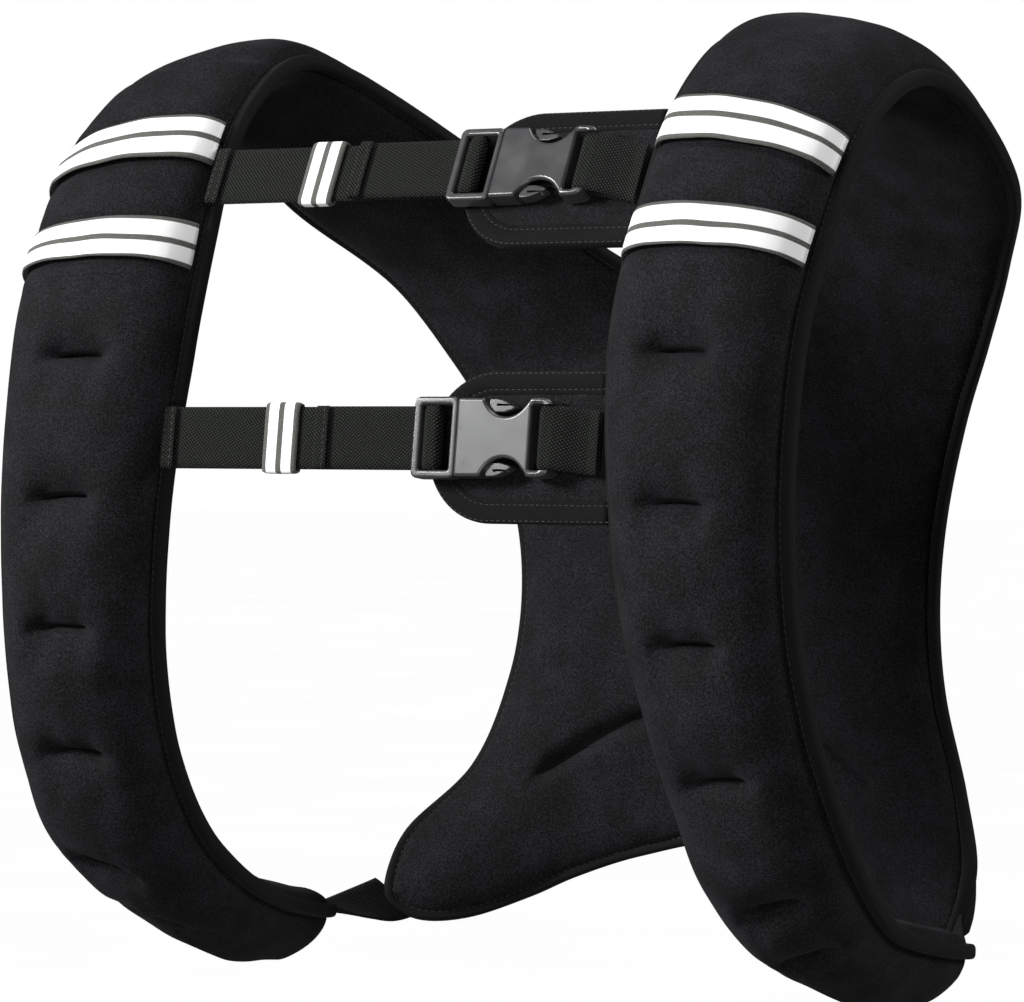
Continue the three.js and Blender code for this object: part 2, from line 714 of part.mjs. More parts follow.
function fromSolid(solid) {
  const mesh = solid.getMesh();
  const geometry = new THREE.BufferGeometry();
  geometry.setAttribute('position', new THREE.BufferAttribute(new Float32Array(mesh.vertProperties), 3));
  geometry.setIndex(new THREE.BufferAttribute(new Uint32Array(mesh.triVerts), 1));
  return geometry;
}

function roundedRectangle(x0, x1, z0, z1, radius) {
  const shape = new THREE.Shape();
  shape.moveTo(x0 + radius, z0);
  shape.lineTo(x1 - radius, z0);
  shape.absarc(x1 - radius, z0 + radius, radius, -Math.PI / 2, 0, false);
  shape.lineTo(x1, z1 - radius);
  shape.absarc(x1 - radius, z1 - radius, radius, 0, Math.PI / 2, false);
  shape.lineTo(x0 + radius, z1);
  shape.absarc(x0 + radius, z1 - radius, radius, Math.PI / 2, Math.PI, false);
  shape.lineTo(x0, z0 + radius);
  shape.absarc(x0 + radius, z0 + radius, radius, Math.PI, Math.PI * 1.5, false);
  return shape;
}

// Depths of the layers, front negative. The edge tape's middle is at zero.
const baseLayer = -(tapeThickness / 2 + clearance + webThickness / 2);
const tailLayer = baseLayer - webThickness - clearance;
const hemLayer = tailLayer - webThickness - clearance;
const turnRadius = crossBar / 2 + clearance + webThickness / 2;
const barCentre = baseLayer - turnRadius;
const frameFront = barCentre - frameThickness / 2 + frameSetBack;
const frameBack = frameFront + frameThickness;
const bucklePlane = (frameFront + frameBack) / 2;
const slotHalf = webWidth / 2 + clearance;
const padFront = bucklePlane + socketThickness / 2 + padClearance;

function longWebPath(start, tail, frameLeft) {
  const bar = frameLeft + crossBarInset;
  const foldRadius = (baseLayer - tailLayer) / 2;
  const front = barCentre - turnRadius;
  return [
    point2(start + tabLength, tailLayer),
    ...halfTurn(start + foldRadius, (baseLayer + tailLayer) / 2, foldRadius, false, foldSteps).reverse(),
    ...halfTurn(bar, barCentre, turnRadius, true),
    point2(frameLeft + outerBarWidth + 2 * webThickness, front),
    point2(frameLeft + outerBarWidth + clearance, tailLayer),
    ...halfTurn(tail + foldRadius, (tailLayer + hemLayer) / 2, foldRadius, false, foldSteps),
    point2(tail + hemLength, hemLayer),
  ];
}

function keeperGeometry(centre) {
  const halfDepth = webThickness / 2 + clearance;
  const outside = [halfDepth + keeperThickness, slotHalf + keeperThickness];
  const shape = roundedRectangle(-outside[0], outside[0], -outside[1], outside[1], keeperThickness * 0.8);
  const hole = new THREE.Path();
  hole.moveTo(-halfDepth, -slotHalf);
  hole.lineTo(-halfDepth, slotHalf);
  hole.lineTo(halfDepth, slotHalf);
  hole.lineTo(halfDepth, -slotHalf);
  hole.closePath();
  shape.holes.push(hole);
  const options = { depth: keeperWidth, bevelEnabled: false, curveSegments: 2 };
  const geometry = new THREE.ExtrudeGeometry(shape, options);
  geometry.translate(0, 0, -keeperWidth / 2).rotateX(Math.PI / 2).rotateZ(Math.PI / 2);
  return geometry.translate(centre, baseLayer, 0);
}

// The half that the web adjusts in: a frame with a cross bar, and two latching arms
function frameGeometry(left) {
  const right = left + frameLength;
  const half = frameHeight / 2;
  const shape = roundedRectangle(left, right, -half, half, outerBarWidth * 0.8);
  const [holeLeft, holeRight] = [left + outerBarWidth, right - innerWallWidth];
  const opening = roundedRectangle(holeLeft, holeRight, -slotHalf, slotHalf, clearance);
  shape.holes.push(new THREE.Path(opening.getPoints(2)));
  let solid = toSolid(plate(shape, frameFront, frameBack));
  const behindBar = tailLayer - webThickness / 2 - clearance;
  const webRoom = block(left - 1, holeLeft + 1, behindBar, frameBack + 1, -slotHalf, slotHalf);
  solid = solid.subtract(toSolid(webRoom));
  const bar = new THREE.CylinderGeometry(crossBar / 2, crossBar / 2, frameHeight - innerWallWidth, 8);
  bar.rotateX(Math.PI / 2).translate(left + crossBarInset, barCentre, 0);
  solid = solid.add(toSolid(bar));
  const armFront = bucklePlane - pocketThickness / 2 + clearance;
  const armBack = bucklePlane + pocketThickness / 2 - clearance;
  const socketLeft = right + clearance;
  const armOuter = socketHeight / 2 - pocketWall - clearance;
  for (const side of [1, -1]) {
    const arm = new THREE.Shape([
      point2(right - 1, side * armInner),
      point2(socketLeft + latchTip, side * armInner),
      point2(socketLeft + latchTip - 3.5, side * (latchReach - 2.2)),
      point2(socketLeft + latchStart + 4, side * latchReach),
      point2(socketLeft + latchStart, side * latchReach),
      point2(socketLeft + latchStart, side * armOuter),
      point2(right - 1, side * armOuter),
    ]);
    solid = solid.add(toSolid(plate(arm, armFront, armBack)));
  }
  return fromSolid(solid);
}

// The half that the arms latch into: a hollow plate with a scallop each side, and a loop for the short web
function socketGeometry(left) {
  const half = socketHeight / 2;
  const loopLeft = left + socketLength;
  const right = loopLeft + slotWidth + endBar;
  const centre = left + scallopCentre;
  const arcZ = half - scallopDepth + scallopRadius;
  const startAngle = Math.asin((half - arcZ) / scallopRadius);
  const shape = new THREE.Shape();
  shape.moveTo(left, -half);
  shape.absarc(centre, -arcZ, scallopRadius, Math.PI + startAngle, -startAngle, true);
  shape.lineTo(right - 1, -half);
  shape.lineTo(right, -half + 1);
  shape.lineTo(right, half - 1);
  shape.lineTo(right - 1, half);
  shape.absarc(centre, arcZ, scallopRadius, startAngle, Math.PI - startAngle, true);
  shape.lineTo(left, half);
  shape.closePath();
  const slot = roundedRectangle(loopLeft, loopLeft + slotWidth, -slotHalf, slotHalf, clearance);
  shape.holes.push(new THREE.Path(slot.getPoints(2)));
  const front = bucklePlane - socketThickness / 2;
  const back = bucklePlane + socketThickness / 2;
  let solid = toSolid(plate(shape, front, back, 5));
  const pocketHalf = half - pocketWall;
  const pocketFront = bucklePlane - pocketThickness / 2;
  const pocketBack = bucklePlane + pocketThickness / 2;
  const pocket = block(left - 1, left + pocketDepth, pocketFront, pocketBack, -pocketHalf, pocketHalf);
  solid = solid.subtract(toSolid(pocket));
  const barFront = bucklePlane - endBarThickness / 2;
  const barBack = bucklePlane + endBarThickness / 2;
  const [x0, x1] = [loopLeft + slotWidth - clearance, right + 1];
  solid = solid.subtract(toSolid(block(x0, x1, front - 1, barFront, -slotHalf, slotHalf)));
  solid = solid.subtract(toSolid(block(x0, x1, barBack, back + 1, -slotHalf, slotHalf)));
  return fromSolid(solid);
}

function shortWebPath(barLeft, end) {
  const radius = endBarThickness / 2 + clearance + webThickness / 2;
  const backLayer = padFront - clearance - webThickness / 2;
  const frontLayer = backLayer - webThickness - clearance;
  const pastBar = barLeft + endBar + clearance;
  const settled = end - webSettle;
  return [
    point2(end, backLayer),
    point2(settled, backLayer),
    point2(pastBar, bucklePlane + radius),
    ...halfTurn(barLeft + clearance, bucklePlane, radius, false),
    point2(pastBar + clearance, bucklePlane - radius),
    point2(settled, frontLayer),
    point2(end, frontLayer),
  ];
}

// Where the neck edge runs near a chest strap, in that strap's own plane: half gap by height
function neckLine(section) {
  const origin = edgeSheet.inner(section);
  const tangent = edgeSheet.tangent('inner', section);
  const up = vec(0, tangent.y, tangent.z).normalize();
  return range(-10, 10).map((k) => {
    const point = edgeSheet.inner(section + k * 0.12);
    return { height: point.clone().sub(origin).dot(up), half: point.x };
  });
}

function halfGapAt(line, height) {
  const k = THREE.MathUtils.clamp(line.findIndex((p) => p.height > height), 1, line.length - 1);
  const [a, b] = [line[k - 1], line[k]];
  return THREE.MathUtils.lerp(a.half, b.half, (height - a.height) / (b.height - a.height));
}

// Outline of the pad: a round end to the wearer's right, and an end along the neck edge to the left
function padOutline(left, line, inset) {
  const [low, high] = [-padBelow + inset, padAbove - inset];
  const radius = (high - low) / 2;
  const middle = (high + low) / 2;
  const points = range(0, padEndSteps).map((k) => {
    const angle = Math.PI / 2 + Math.PI * k / padEndSteps;
    return point2(left + inset + radius * (1 + Math.cos(angle)), middle + radius * Math.sin(angle));
  });
  const seam = range(0, padSeamSteps).map((k) => {
    const height = low + (high - low) * k / padSeamSteps;
    return point2(halfGapAt(line, height) - tapeDepth / 2 - neckClearance, height);
  });
  return [...points, ...seam];
}

function padTapeOutline(left, line) {
  const outside = padOutline(left, line, 0);
  const inside = padOutline(left, line, padTapeWidth);
  const turn = padEndSteps + 1;
  const seamLow = outside[turn];
  const seamHigh = outside.at(-1);
  const innerLow = inside[turn];
  const innerHigh = inside.at(-1);
  const back = inside.slice(0, turn).reverse();
  return [...outside.slice(0, turn), seamLow, innerLow, ...back, innerHigh, seamHigh];
}

const group = new THREE.Group();

function addMesh(parent, name, geometry, material) {
  const mesh = new THREE.Mesh(geometry, material);
  mesh.name = name;
  parent.add(mesh);
}

addMesh(group, 'back_panel', panelGeometry(), neoprene);
addMesh(group, 'left_strap', strapGeometry(false), neoprene);
addMesh(group, 'right_strap', strapGeometry(true), neoprene);

addMesh(group, 'edge_tape', tapeGeometry(), edgeTape);

for (const band of bands) {
  addMesh(group, `left_${band.name}`, bandGeometry(band.section, false), reflective);
  addMesh(group, `right_${band.name}`, bandGeometry(band.section, true), reflective);
}

addMesh(group, 'left_side_web', sideWebGeometry(false), webbing);
addMesh(group, 'right_side_web', sideWebGeometry(true), webbing);

for (const strap of chestStraps) {
  const assembly = new THREE.Group();
  const anchor = edgeSheet.inner(strap.section);
  const tangent = edgeSheet.tangent('inner', strap.section);
  const halfGap = anchor.x;
  assembly.position.set(0, anchor.y, anchor.z);
  assembly.rotation.x = -Math.atan2(tangent.y, tangent.z);
  const line = neckLine(strap.section);
  const webStart = -halfGap - tabPast;
  const nearest = Math.min(...[-webWidth / 2, 0, webWidth / 2].map((height) => halfGapAt(line, height)));
  const webEnd = nearest - tapeDepth / 2 - neckClearance;
  const endBarLeft = webEnd - strap.shortReach * webWidth;
  const socketLeft = endBarLeft - slotWidth - socketLength;
  const frameLeft = socketLeft - clearance - frameLength;
  const padLeft = socketLeft - padLead;
  const tailStart = strap.tailAt * halfGap;
  const keeperCentre = strap.keeperAt * halfGap;
  const longWeb = webGeometry(longWebPath(webStart, tailStart, frameLeft));
  addMesh(assembly, `${strap.name}_long_web`, longWeb, webbing);
  addMesh(assembly, `${strap.name}_keeper`, keeperGeometry(keeperCentre), elastic);
  addMesh(assembly, `${strap.name}_buckle_frame`, frameGeometry(frameLeft), buckleGrey);
  addMesh(assembly, `${strap.name}_buckle_socket`, socketGeometry(socketLeft), buckleGrey);
  addMesh(assembly, `${strap.name}_short_web`, webGeometry(shortWebPath(endBarLeft, webEnd)), webbing);
  const core = new THREE.Shape(padOutline(padLeft, line, padTapeWidth + clearance));
  addMesh(assembly, `${strap.name}_pad`, plate(core, padFront, padFront + padThickness), neoprene);
  const rim = new THREE.Shape(padTapeOutline(padLeft, line));
  addMesh(assembly, `${strap.name}_pad_tape`, plate(rim, padFront, padFront + padThickness), webbing);
  group.add(assembly);
}

export default group;
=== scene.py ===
"""A padded weighted vest in its worn shape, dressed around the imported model.

Metres throughout. +X is the wearer's left, -Y the front and +Z up. The form of the padding is worked out
from the same shares as the part's source, and then gets its tacks, creases, cloth, webbing and buckles.
"""
import logging
import math
from dataclasses import dataclass, field
from enum import Enum
from typing import Callable, Sequence

import bmesh
import bpy
import numpy as np
from mathutils import Matrix, Vector
from mathutils.kdtree import KDTree


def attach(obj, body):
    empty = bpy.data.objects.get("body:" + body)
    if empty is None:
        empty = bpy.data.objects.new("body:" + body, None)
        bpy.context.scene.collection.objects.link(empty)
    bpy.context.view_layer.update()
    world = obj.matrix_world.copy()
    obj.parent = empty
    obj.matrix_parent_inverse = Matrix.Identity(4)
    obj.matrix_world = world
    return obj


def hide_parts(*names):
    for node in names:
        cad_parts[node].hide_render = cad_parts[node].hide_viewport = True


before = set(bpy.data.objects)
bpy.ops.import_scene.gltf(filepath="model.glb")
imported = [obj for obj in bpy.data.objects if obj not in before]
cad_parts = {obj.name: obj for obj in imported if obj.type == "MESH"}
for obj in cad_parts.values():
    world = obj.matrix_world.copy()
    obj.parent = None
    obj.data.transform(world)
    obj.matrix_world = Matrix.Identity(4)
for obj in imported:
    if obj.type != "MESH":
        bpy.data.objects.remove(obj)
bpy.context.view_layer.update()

LOG = logging.getLogger("vest")
MM = 0.001
Points = np.ndarray


class Edge(Enum):
    """The three runs of the padding's outline on one side."""

    NECK = "inner"
    ARM = "outer"
    HEM = "hem"


def smooth(share: Points) -> Points:
    """Eases from 0 to 1."""
    share = np.clip(share, 0.0, 1.0)
    return share * share * (3.0 - 2.0 * share)


def bell(distance: Points, width: float) -> Points:
    """A bump of height 1 that fades over the width."""
    return np.exp(-((distance / width) ** 2))


def unit(vectors: Points) -> Points:
    """Vectors at length 1."""
    return vectors / np.maximum(np.linalg.norm(vectors, axis=-1, keepdims=True), 1e-12)


def flipped(points: Points) -> Points:
    """Points on the other side of the vest."""
    return points * np.array([-1.0, 1.0, 1.0])


def distances(path: Points) -> Points:
    """How far along a path each of its points lies, in metres."""
    return np.concatenate([[0.0], np.cumsum(np.linalg.norm(np.diff(path, axis=0), axis=1))])


def cloth_grid(along: Points, across: Points) -> Points:
    """The cloth's own directions over a grid, in metres."""
    return np.stack(np.meshgrid(along, across, indexing="ij"), axis=-1)


def round_trip(section: Points) -> Points:
    """The first measure of each point round a closed section, back to its start."""
    return np.append(section[:, 0], section[0, 0])


def ripple(points: Points, wavelength: float, seed: int) -> Points:
    """Slow random unevenness between about -1 and 1.

    Args:
        points: Places, in metres.
        wavelength: Typical distance between two rises, in metres.
        seed: Picks the pattern.

    Returns:
        One height for each place.
    """
    draw = np.random.default_rng(seed)
    total = np.zeros(points.shape[:-1])
    for _ in range(7):
        direction = unit(draw.normal(size=3))
        step = direction * 2.0 * math.pi / (wavelength * draw.uniform(0.7, 1.5))
        total += np.sin(points @ step + draw.uniform(0.0, 2.0 * math.pi))
    return total / 3.5


def curve_through(points: Points, before: Points, after: Points) -> Callable[[Points], Points]:
    """A smooth curve through a list of points, read by place in the list.

    Args:
        points: The points.
        before: A point ahead of the first, which steers the start.
        after: A point past the last, which steers the end.

    Returns:
        A function from places in the list to points.
    """
    row = np.vstack([before, points, after])
    last = len(points) - 2

    def read(place: Points) -> Points:
        """Points on the curve by place in the list.

        Args:
            place: Places in the list.

        Returns:
            Points on the curve.
        """
        place = np.asarray(place, float)
        k = np.clip(np.floor(place).astype(int), 0, last)
        f = (place - k)[..., None]
        a, b, c, d = (row[k + i] for i in range(4))
        square = 2.0 * a - 5.0 * b + 4.0 * c - d
        cube = 3.0 * b - a - 3.0 * c + d
        return 0.5 * (2.0 * b + (c - a) * f + square * f**2 + cube * f**3)

    return read


class Shell:
    """Collects the grids of a closed mesh and makes its object."""

    def __init__(self) -> None:
        """Starts an empty shell."""
        self.points: list[Points] = []
        self.faces: list[Points] = []
        self.weave: list[Points] = []
        self.count = 0

    def grid(self, points: Points, weave: Points | None = None, turn: bool = False) -> None:
        """Adds a sheet of quads.

        Args:
            points: Rows by columns by 3.
            weave: Rows by columns by 2, the cloth's own directions in metres.
            turn: Turns the faces round.
        """
        rows, columns = points.shape[:2]
        if weave is None:
            weave = np.zeros((rows, columns, 2))
        index = np.arange(rows * columns).reshape(rows, columns) + self.count
        quads = np.stack([index[:-1, :-1], index[:-1, 1:], index[1:, 1:], index[1:, :-1]], axis=-1)
        quads = quads.reshape(-1, 4)
        self.faces.append(quads[:, ::-1] if turn else quads)
        self.points.append(points.reshape(-1, 3))
        self.weave.append(weave.reshape(-1, 2))
        self.count += rows * columns

    def piece(self, name: str, finish: bpy.types.Material) -> bpy.types.Object:
        """Makes the object: doubles merged, faces outwards, smooth.

        Args:
            name: The piece's name.
            finish: Its material.

        Returns:
            The object, linked to the scene.
        """
        points = np.vstack(self.points)
        faces = np.vstack(self.faces)
        weave = np.vstack(self.weave)
        mesh = bpy.data.meshes.new(name)
        mesh.from_pydata(points.tolist(), [], faces.tolist())
        layer = mesh.uv_layers.new(name="weave")
        layer.data.foreach_set("uv", weave[faces.ravel()].astype(np.float32).ravel())
        work = bmesh.new()
        work.from_mesh(mesh)
        bmesh.ops.remove_doubles(work, verts=work.verts, dist=2e-6)
        bmesh.ops.dissolve_degenerate(work, dist=1e-6, edges=work.edges)
        if work.calc_volume(signed=True) < 0.0:
            bmesh.ops.reverse_faces(work, faces=work.faces)
        work.to_mesh(mesh)
        work.free()
        mesh.shade_smooth()
        mesh.materials.append(finish)
        return add_object(name, mesh)


def add_object(name: str, mesh: bpy.types.Mesh) -> bpy.types.Object:
    """Puts a mesh in the scene at the origin.

    Args:
        name: The object's name.
        mesh: Its mesh.

    Returns:
        The object.
    """
    thing = bpy.data.objects.new(name, mesh)
    bpy.context.scene.collection.objects.link(thing)
    return thing


def settle(thing: bpy.types.Object, slot: str, nodes: Sequence[str] = ()) -> bpy.types.Object:
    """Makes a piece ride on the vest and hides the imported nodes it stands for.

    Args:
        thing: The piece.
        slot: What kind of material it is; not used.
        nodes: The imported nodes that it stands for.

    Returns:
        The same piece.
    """
    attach(thing, "root")
    if nodes:
        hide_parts(*nodes)
    LOG.info("%s: %d faces", thing.name, len(thing.data.polygons))
    return thing


class Recipe:
    """Builds the node tree of one material."""

    def __init__(self, name: str) -> None:
        """Starts a material with an empty tree.

        Args:
            name: The material's name.
        """
        self.material = bpy.data.materials.new(name)
        self.material.use_nodes = True
        self.tree = self.material.node_tree
        self.tree.nodes.clear()
        self.shader = self.tree.nodes.new("ShaderNodeBsdfPrincipled")
        output = self.tree.nodes.new("ShaderNodeOutputMaterial")
        self.join(self.shader.outputs["BSDF"], output.inputs["Surface"])

    def join(self, source: bpy.types.NodeSocket, target: bpy.types.NodeSocket) -> None:
        """Links two sockets."""
        self.tree.links.new(source, target)

    def put(self, target: bpy.types.NodeSocket, value: object) -> None:
        """Sets a socket from a link or from a plain value.

        Args:
            target: The input to set.
            value: An output to link, or a value.
        """
        if isinstance(value, bpy.types.NodeSocket):
            self.join(value, target)
        else:
            target.default_value = value

    def surface(self, **values: object) -> None:
        """Sets the shader's own sockets, named with underscores for spaces."""
        for key, value in values.items():
            self.put(self.shader.inputs[key.replace("_", " ")], value)

    def place(self) -> bpy.types.NodeSocket:
        """The point on the object, in metres."""
        return self.tree.nodes.new("ShaderNodeTexCoord").outputs["Object"]

    def weave(self) -> tuple[bpy.types.NodeSocket, bpy.types.NodeSocket]:
        """Distance along and across the cloth, in metres.

        Returns:
            The two outputs.
        """
        source = self.tree.nodes.new("ShaderNodeUVMap")
        source.uv_map = "weave"
        split = self.tree.nodes.new("ShaderNodeSeparateXYZ")
        self.join(source.outputs["UV"], split.inputs["Vector"])
        return split.outputs["X"], split.outputs["Y"]

    def noise(self, vector: bpy.types.NodeSocket, per_metre: float, detail: float = 2.0,
              roughness: float = 0.5) -> bpy.types.NodeSocket:
        """Noise between 0 and 1, with that many grains to a metre.

        Args:
            vector: Where the noise is read.
            per_metre: Grains to a metre.
            detail: Finer layers.
            roughness: How strong the finer layers are.

        Returns:
            The noise's output.
        """
        node = self.tree.nodes.new("ShaderNodeTexNoise")
        self.put(node.inputs["Vector"], vector)
        node.inputs["Scale"].default_value = per_metre
        node.inputs["Detail"].default_value = detail
        node.inputs["Roughness"].default_value = roughness
        return node.outputs["Fac"]

    def math(self, operation: str, *values: object) -> bpy.types.NodeSocket:
        """One arithmetic step.

        Args:
            operation: Blender's name of the step.
            *values: Outputs or numbers, in order.

        Returns:
            The result's output.
        """
        node = self.tree.nodes.new("ShaderNodeMath")
        node.operation = operation
        for socket, value in zip(node.inputs, values):
            self.put(socket, value)
        return node.outputs["Value"]

    def span(self, value: object, low: float, high: float, start: float = 0.0,
             end: float = 1.0) -> bpy.types.NodeSocket:
        """Maps a range onto another and stops at its ends.

        Args:
            value: What is mapped.
            low: Start of the range.
            high: Its end.
            start: What the start becomes.
            end: What the end becomes.

        Returns:
            The result's output.
        """
        node = self.tree.nodes.new("ShaderNodeMapRange")
        for key, number in zip(("From Min", "From Max", "To Min", "To Max"), (low, high, start, end)):
            node.inputs[key].default_value = number
        self.put(node.inputs["Value"], value)
        return node.outputs["Result"]

    def blend(self, share: object, first: object, second: object) -> bpy.types.NodeSocket:
        """Mixes two colours.

        Args:
            share: How much of the second colour.
            first: A colour or an output.
            second: A colour or an output.

        Returns:
            The mixed colour's output.
        """
        node = self.tree.nodes.new("ShaderNodeMix")
        node.data_type = "RGBA"
        self.put(node.inputs["Factor"], share)
        self.put(node.inputs[6], first)
        self.put(node.inputs[7], second)
        return node.outputs[2]

    def bump(self, height: bpy.types.NodeSocket, depth: float, strength: float = 1.0) -> None:
        """Raises the surface by up to the depth, in metres.

        Args:
            height: Heights from 0 to 1.
            depth: What 1 stands for, in metres.
            strength: How much of it is used.
        """
        node = self.tree.nodes.new("ShaderNodeBump")
        node.inputs["Strength"].default_value = strength
        node.inputs["Distance"].default_value = depth
        self.join(height, node.inputs["Height"])
        self.join(node.outputs["Normal"], self.shader.inputs["Normal"])


def tone(red: float, green: float, blue: float) -> tuple[float, float, float, float]:
    """A colour from display values of 0 to 255.

    Args:
        red: Display value.
        green: Display value.
        blue: Display value.

    Returns:
        The colour as a shader takes it.
    """
    def linear(value: float) -> float:
        """One channel in linear light."""
        share = value / 255.0
        return share / 12.92 if share <= 0.04045 else ((share + 0.055) / 1.055) ** 2.4
    return (linear(red), linear(green), linear(blue), 1.0)


@dataclass(frozen=True)
class PaddingCloth:
    """Matte stretch cloth over the filling, with a fine fleck."""

    dark: tuple[float, float, float, float] = tone(3, 3, 4)
    light: tuple[float, float, float, float] = tone(43, 43, 47)
    flecks_per_metre: float = 1300.0

    def material(self) -> bpy.types.Material:
        """Builds the material.

        Returns:
            The cloth.
        """
        recipe = Recipe("padding_cloth")
        place = recipe.place()
        fleck = recipe.noise(place, self.flecks_per_metre, 3.0, 0.75)
        patch = recipe.noise(place, 60.0, 2.0)
        share = recipe.math("MULTIPLY_ADD", patch, 0.3, recipe.math("SUBTRACT", fleck, 0.15))
        share = recipe.span(share, 0.42, 0.72)
        knit = recipe.noise(place, self.flecks_per_metre * 0.7, 2.0, 0.6)
        recipe.surface(
            Base_Color=recipe.blend(share, self.dark, self.light),
            Roughness=recipe.span(patch, 0.3, 0.7, 0.82, 0.94),
            Specular_IOR_Level=0.16,
            Sheen_Weight=0.02,
            Sheen_Roughness=0.5,
            Sheen_Tint=tone(205, 208, 220),
        )
        recipe.bump(knit, 0.00035, 0.6)
        return recipe.material


@dataclass(frozen=True)
class Twill:
    """A woven tape with slanting threads, along the piece's own weave, its thread tops painted lighter as
    highlight and its gaps painted darker as shade.

    Attributes:
        name: The material's name.
        dark: Colour between the threads, a painted shade in the gaps.
        light: Colour on top of the threads, a painted highlight on their tops.
        pitch: Distance from thread to thread, in metres.
        slant: How far the threads lean, as a share.
        depth: Height of the threads, in metres.
    """

    name: str
    dark: tuple[float, float, float, float]
    light: tuple[float, float, float, float]
    pitch: float
    slant: float
    depth: float
    grain: float = 0.35

    def material(self) -> bpy.types.Material:
        """Builds the material.

        Returns:
            The woven tape.
        """
        recipe = Recipe(self.name)
        along, across = recipe.weave()
        turn = 2.0 * math.pi / self.pitch
        shift = recipe.math("MULTIPLY", recipe.noise(recipe.place(), 220.0, 1.0), 0.9)
        first = recipe.math("MULTIPLY_ADD", along, turn, recipe.math("MULTIPLY", across, turn * self.slant))
        second = recipe.math("MULTIPLY_ADD", along, turn * 0.62,
                             recipe.math("MULTIPLY", across, -turn * self.slant * 1.25))
        rib = recipe.math("SINE", recipe.math("ADD", first, shift))
        cross = recipe.math("SINE", recipe.math("SUBTRACT", second, shift))
        height = recipe.math("MULTIPLY_ADD", rib, 0.5, recipe.math("MULTIPLY", cross, 0.34))
        thread = recipe.span(height, -0.05, 0.8)
        fuzz = recipe.noise(recipe.place(), 1900.0, 2.0)
        # The thread height that drives the bump also sets the colour: painted shade between the threads,
        # painted highlight on their tops; the fuzz adds real random tone.
        share = recipe.math("MULTIPLY", thread, recipe.span(fuzz, 0.3, 0.65, 1.0 - self.grain, 1.0))
        recipe.surface(
            Base_Color=recipe.blend(share, self.dark, self.light),
            Roughness=recipe.span(thread, 0.0, 1.0, 0.9, 0.66),
            Specular_IOR_Level=0.2,
            Sheen_Weight=0.02,
            Sheen_Roughness=0.4,
        )
        recipe.bump(thread, self.depth)
        return recipe.material


@dataclass(frozen=True)
class StripedRibbon:
    """Grey elastic ribbon with two reflective stripes across its width."""

    grey: tuple[float, float, float, float] = tone(96, 98, 93)
    stripe: tuple[float, float, float, float] = tone(250, 250, 250)
    width: float = 19.0 * MM
    edge: float = 1.9 * MM
    middle: float = 2.3 * MM
    name: str = "reflective_ribbon"

    def material(self) -> bpy.types.Material:
        """Builds the material.

        Returns:
            The ribbon.
        """
        recipe = Recipe(self.name)
        along, across = recipe.weave()
        middle = recipe.math("ABSOLUTE", across)
        soft = 0.12 * MM
        inside = recipe.span(middle, self.middle / 2 - soft, self.middle / 2 + soft)
        rim = self.width / 2 - self.edge
        outside = recipe.span(middle, rim - soft, rim + soft, 1.0, 0.0)
        share = recipe.math("MULTIPLY", inside, outside)
        ribs = recipe.math("SINE", recipe.math("MULTIPLY", along, 2.0 * math.pi / (0.7 * MM)))
        fuzz = recipe.noise(recipe.place(), 1600.0, 2.0)
        grey = recipe.blend(recipe.span(fuzz, 0.3, 0.7), tone(70, 72, 68), self.grey)
        recipe.surface(
            Base_Color=recipe.blend(share, grey, self.stripe),
            Roughness=recipe.span(share, 0.0, 1.0, 0.85, 0.42),
            Specular_IOR_Level=0.5,
        )
        weave = recipe.math("MULTIPLY", ribs, recipe.span(share, 0.0, 1.0, 0.5, 0.12))
        recipe.bump(recipe.math("ADD", weave, recipe.math("MULTIPLY", share, 1.6)), 0.00009)
        return recipe.material


@dataclass(frozen=True)
class MouldedPlastic:
    """Satin grey moulding with a faint grain."""

    name: str
    colour: tuple[float, float, float, float]
    roughness: float = 0.3

    def material(self) -> bpy.types.Material:
        """Builds the material.

        Returns:
            The plastic.
        """
        recipe = Recipe(self.name)
        grain = recipe.noise(recipe.place(), 2600.0, 2.0)
        smear = recipe.noise(recipe.place(), 90.0, 3.0)
        darker = tuple([c * 0.88 for c in self.colour[:3]] + [1.0])
        recipe.surface(
            Base_Color=recipe.blend(recipe.span(smear, 0.3, 0.7), darker, self.colour),
            Roughness=recipe.span(smear, 0.25, 0.75, self.roughness - 0.05, self.roughness + 0.07),
            Specular_IOR_Level=0.6,
            Metallic=0.0,
            Coat_Weight=0.12,
            Coat_Roughness=0.22,
        )
        recipe.bump(grain, 0.00003, 0.5)
        return recipe.material


@dataclass(frozen=True)
class Thread:
    """Sewing thread with a slight shine."""

    colour: tuple[float, float, float, float] = tone(36, 38, 34)

    def material(self) -> bpy.types.Material:
        """Builds the material.

        Returns:
            The thread.
        """
        recipe = Recipe("sewing_thread")
        twist = recipe.noise(recipe.place(), 2400.0, 1.0)
        darker = tuple([c * 0.5 for c in self.colour[:3]] + [1.0])
        recipe.surface(
            Base_Color=recipe.blend(twist, darker, self.colour),
            Roughness=0.6,
            Specular_IOR_Level=0.5,
        )
        return recipe.material


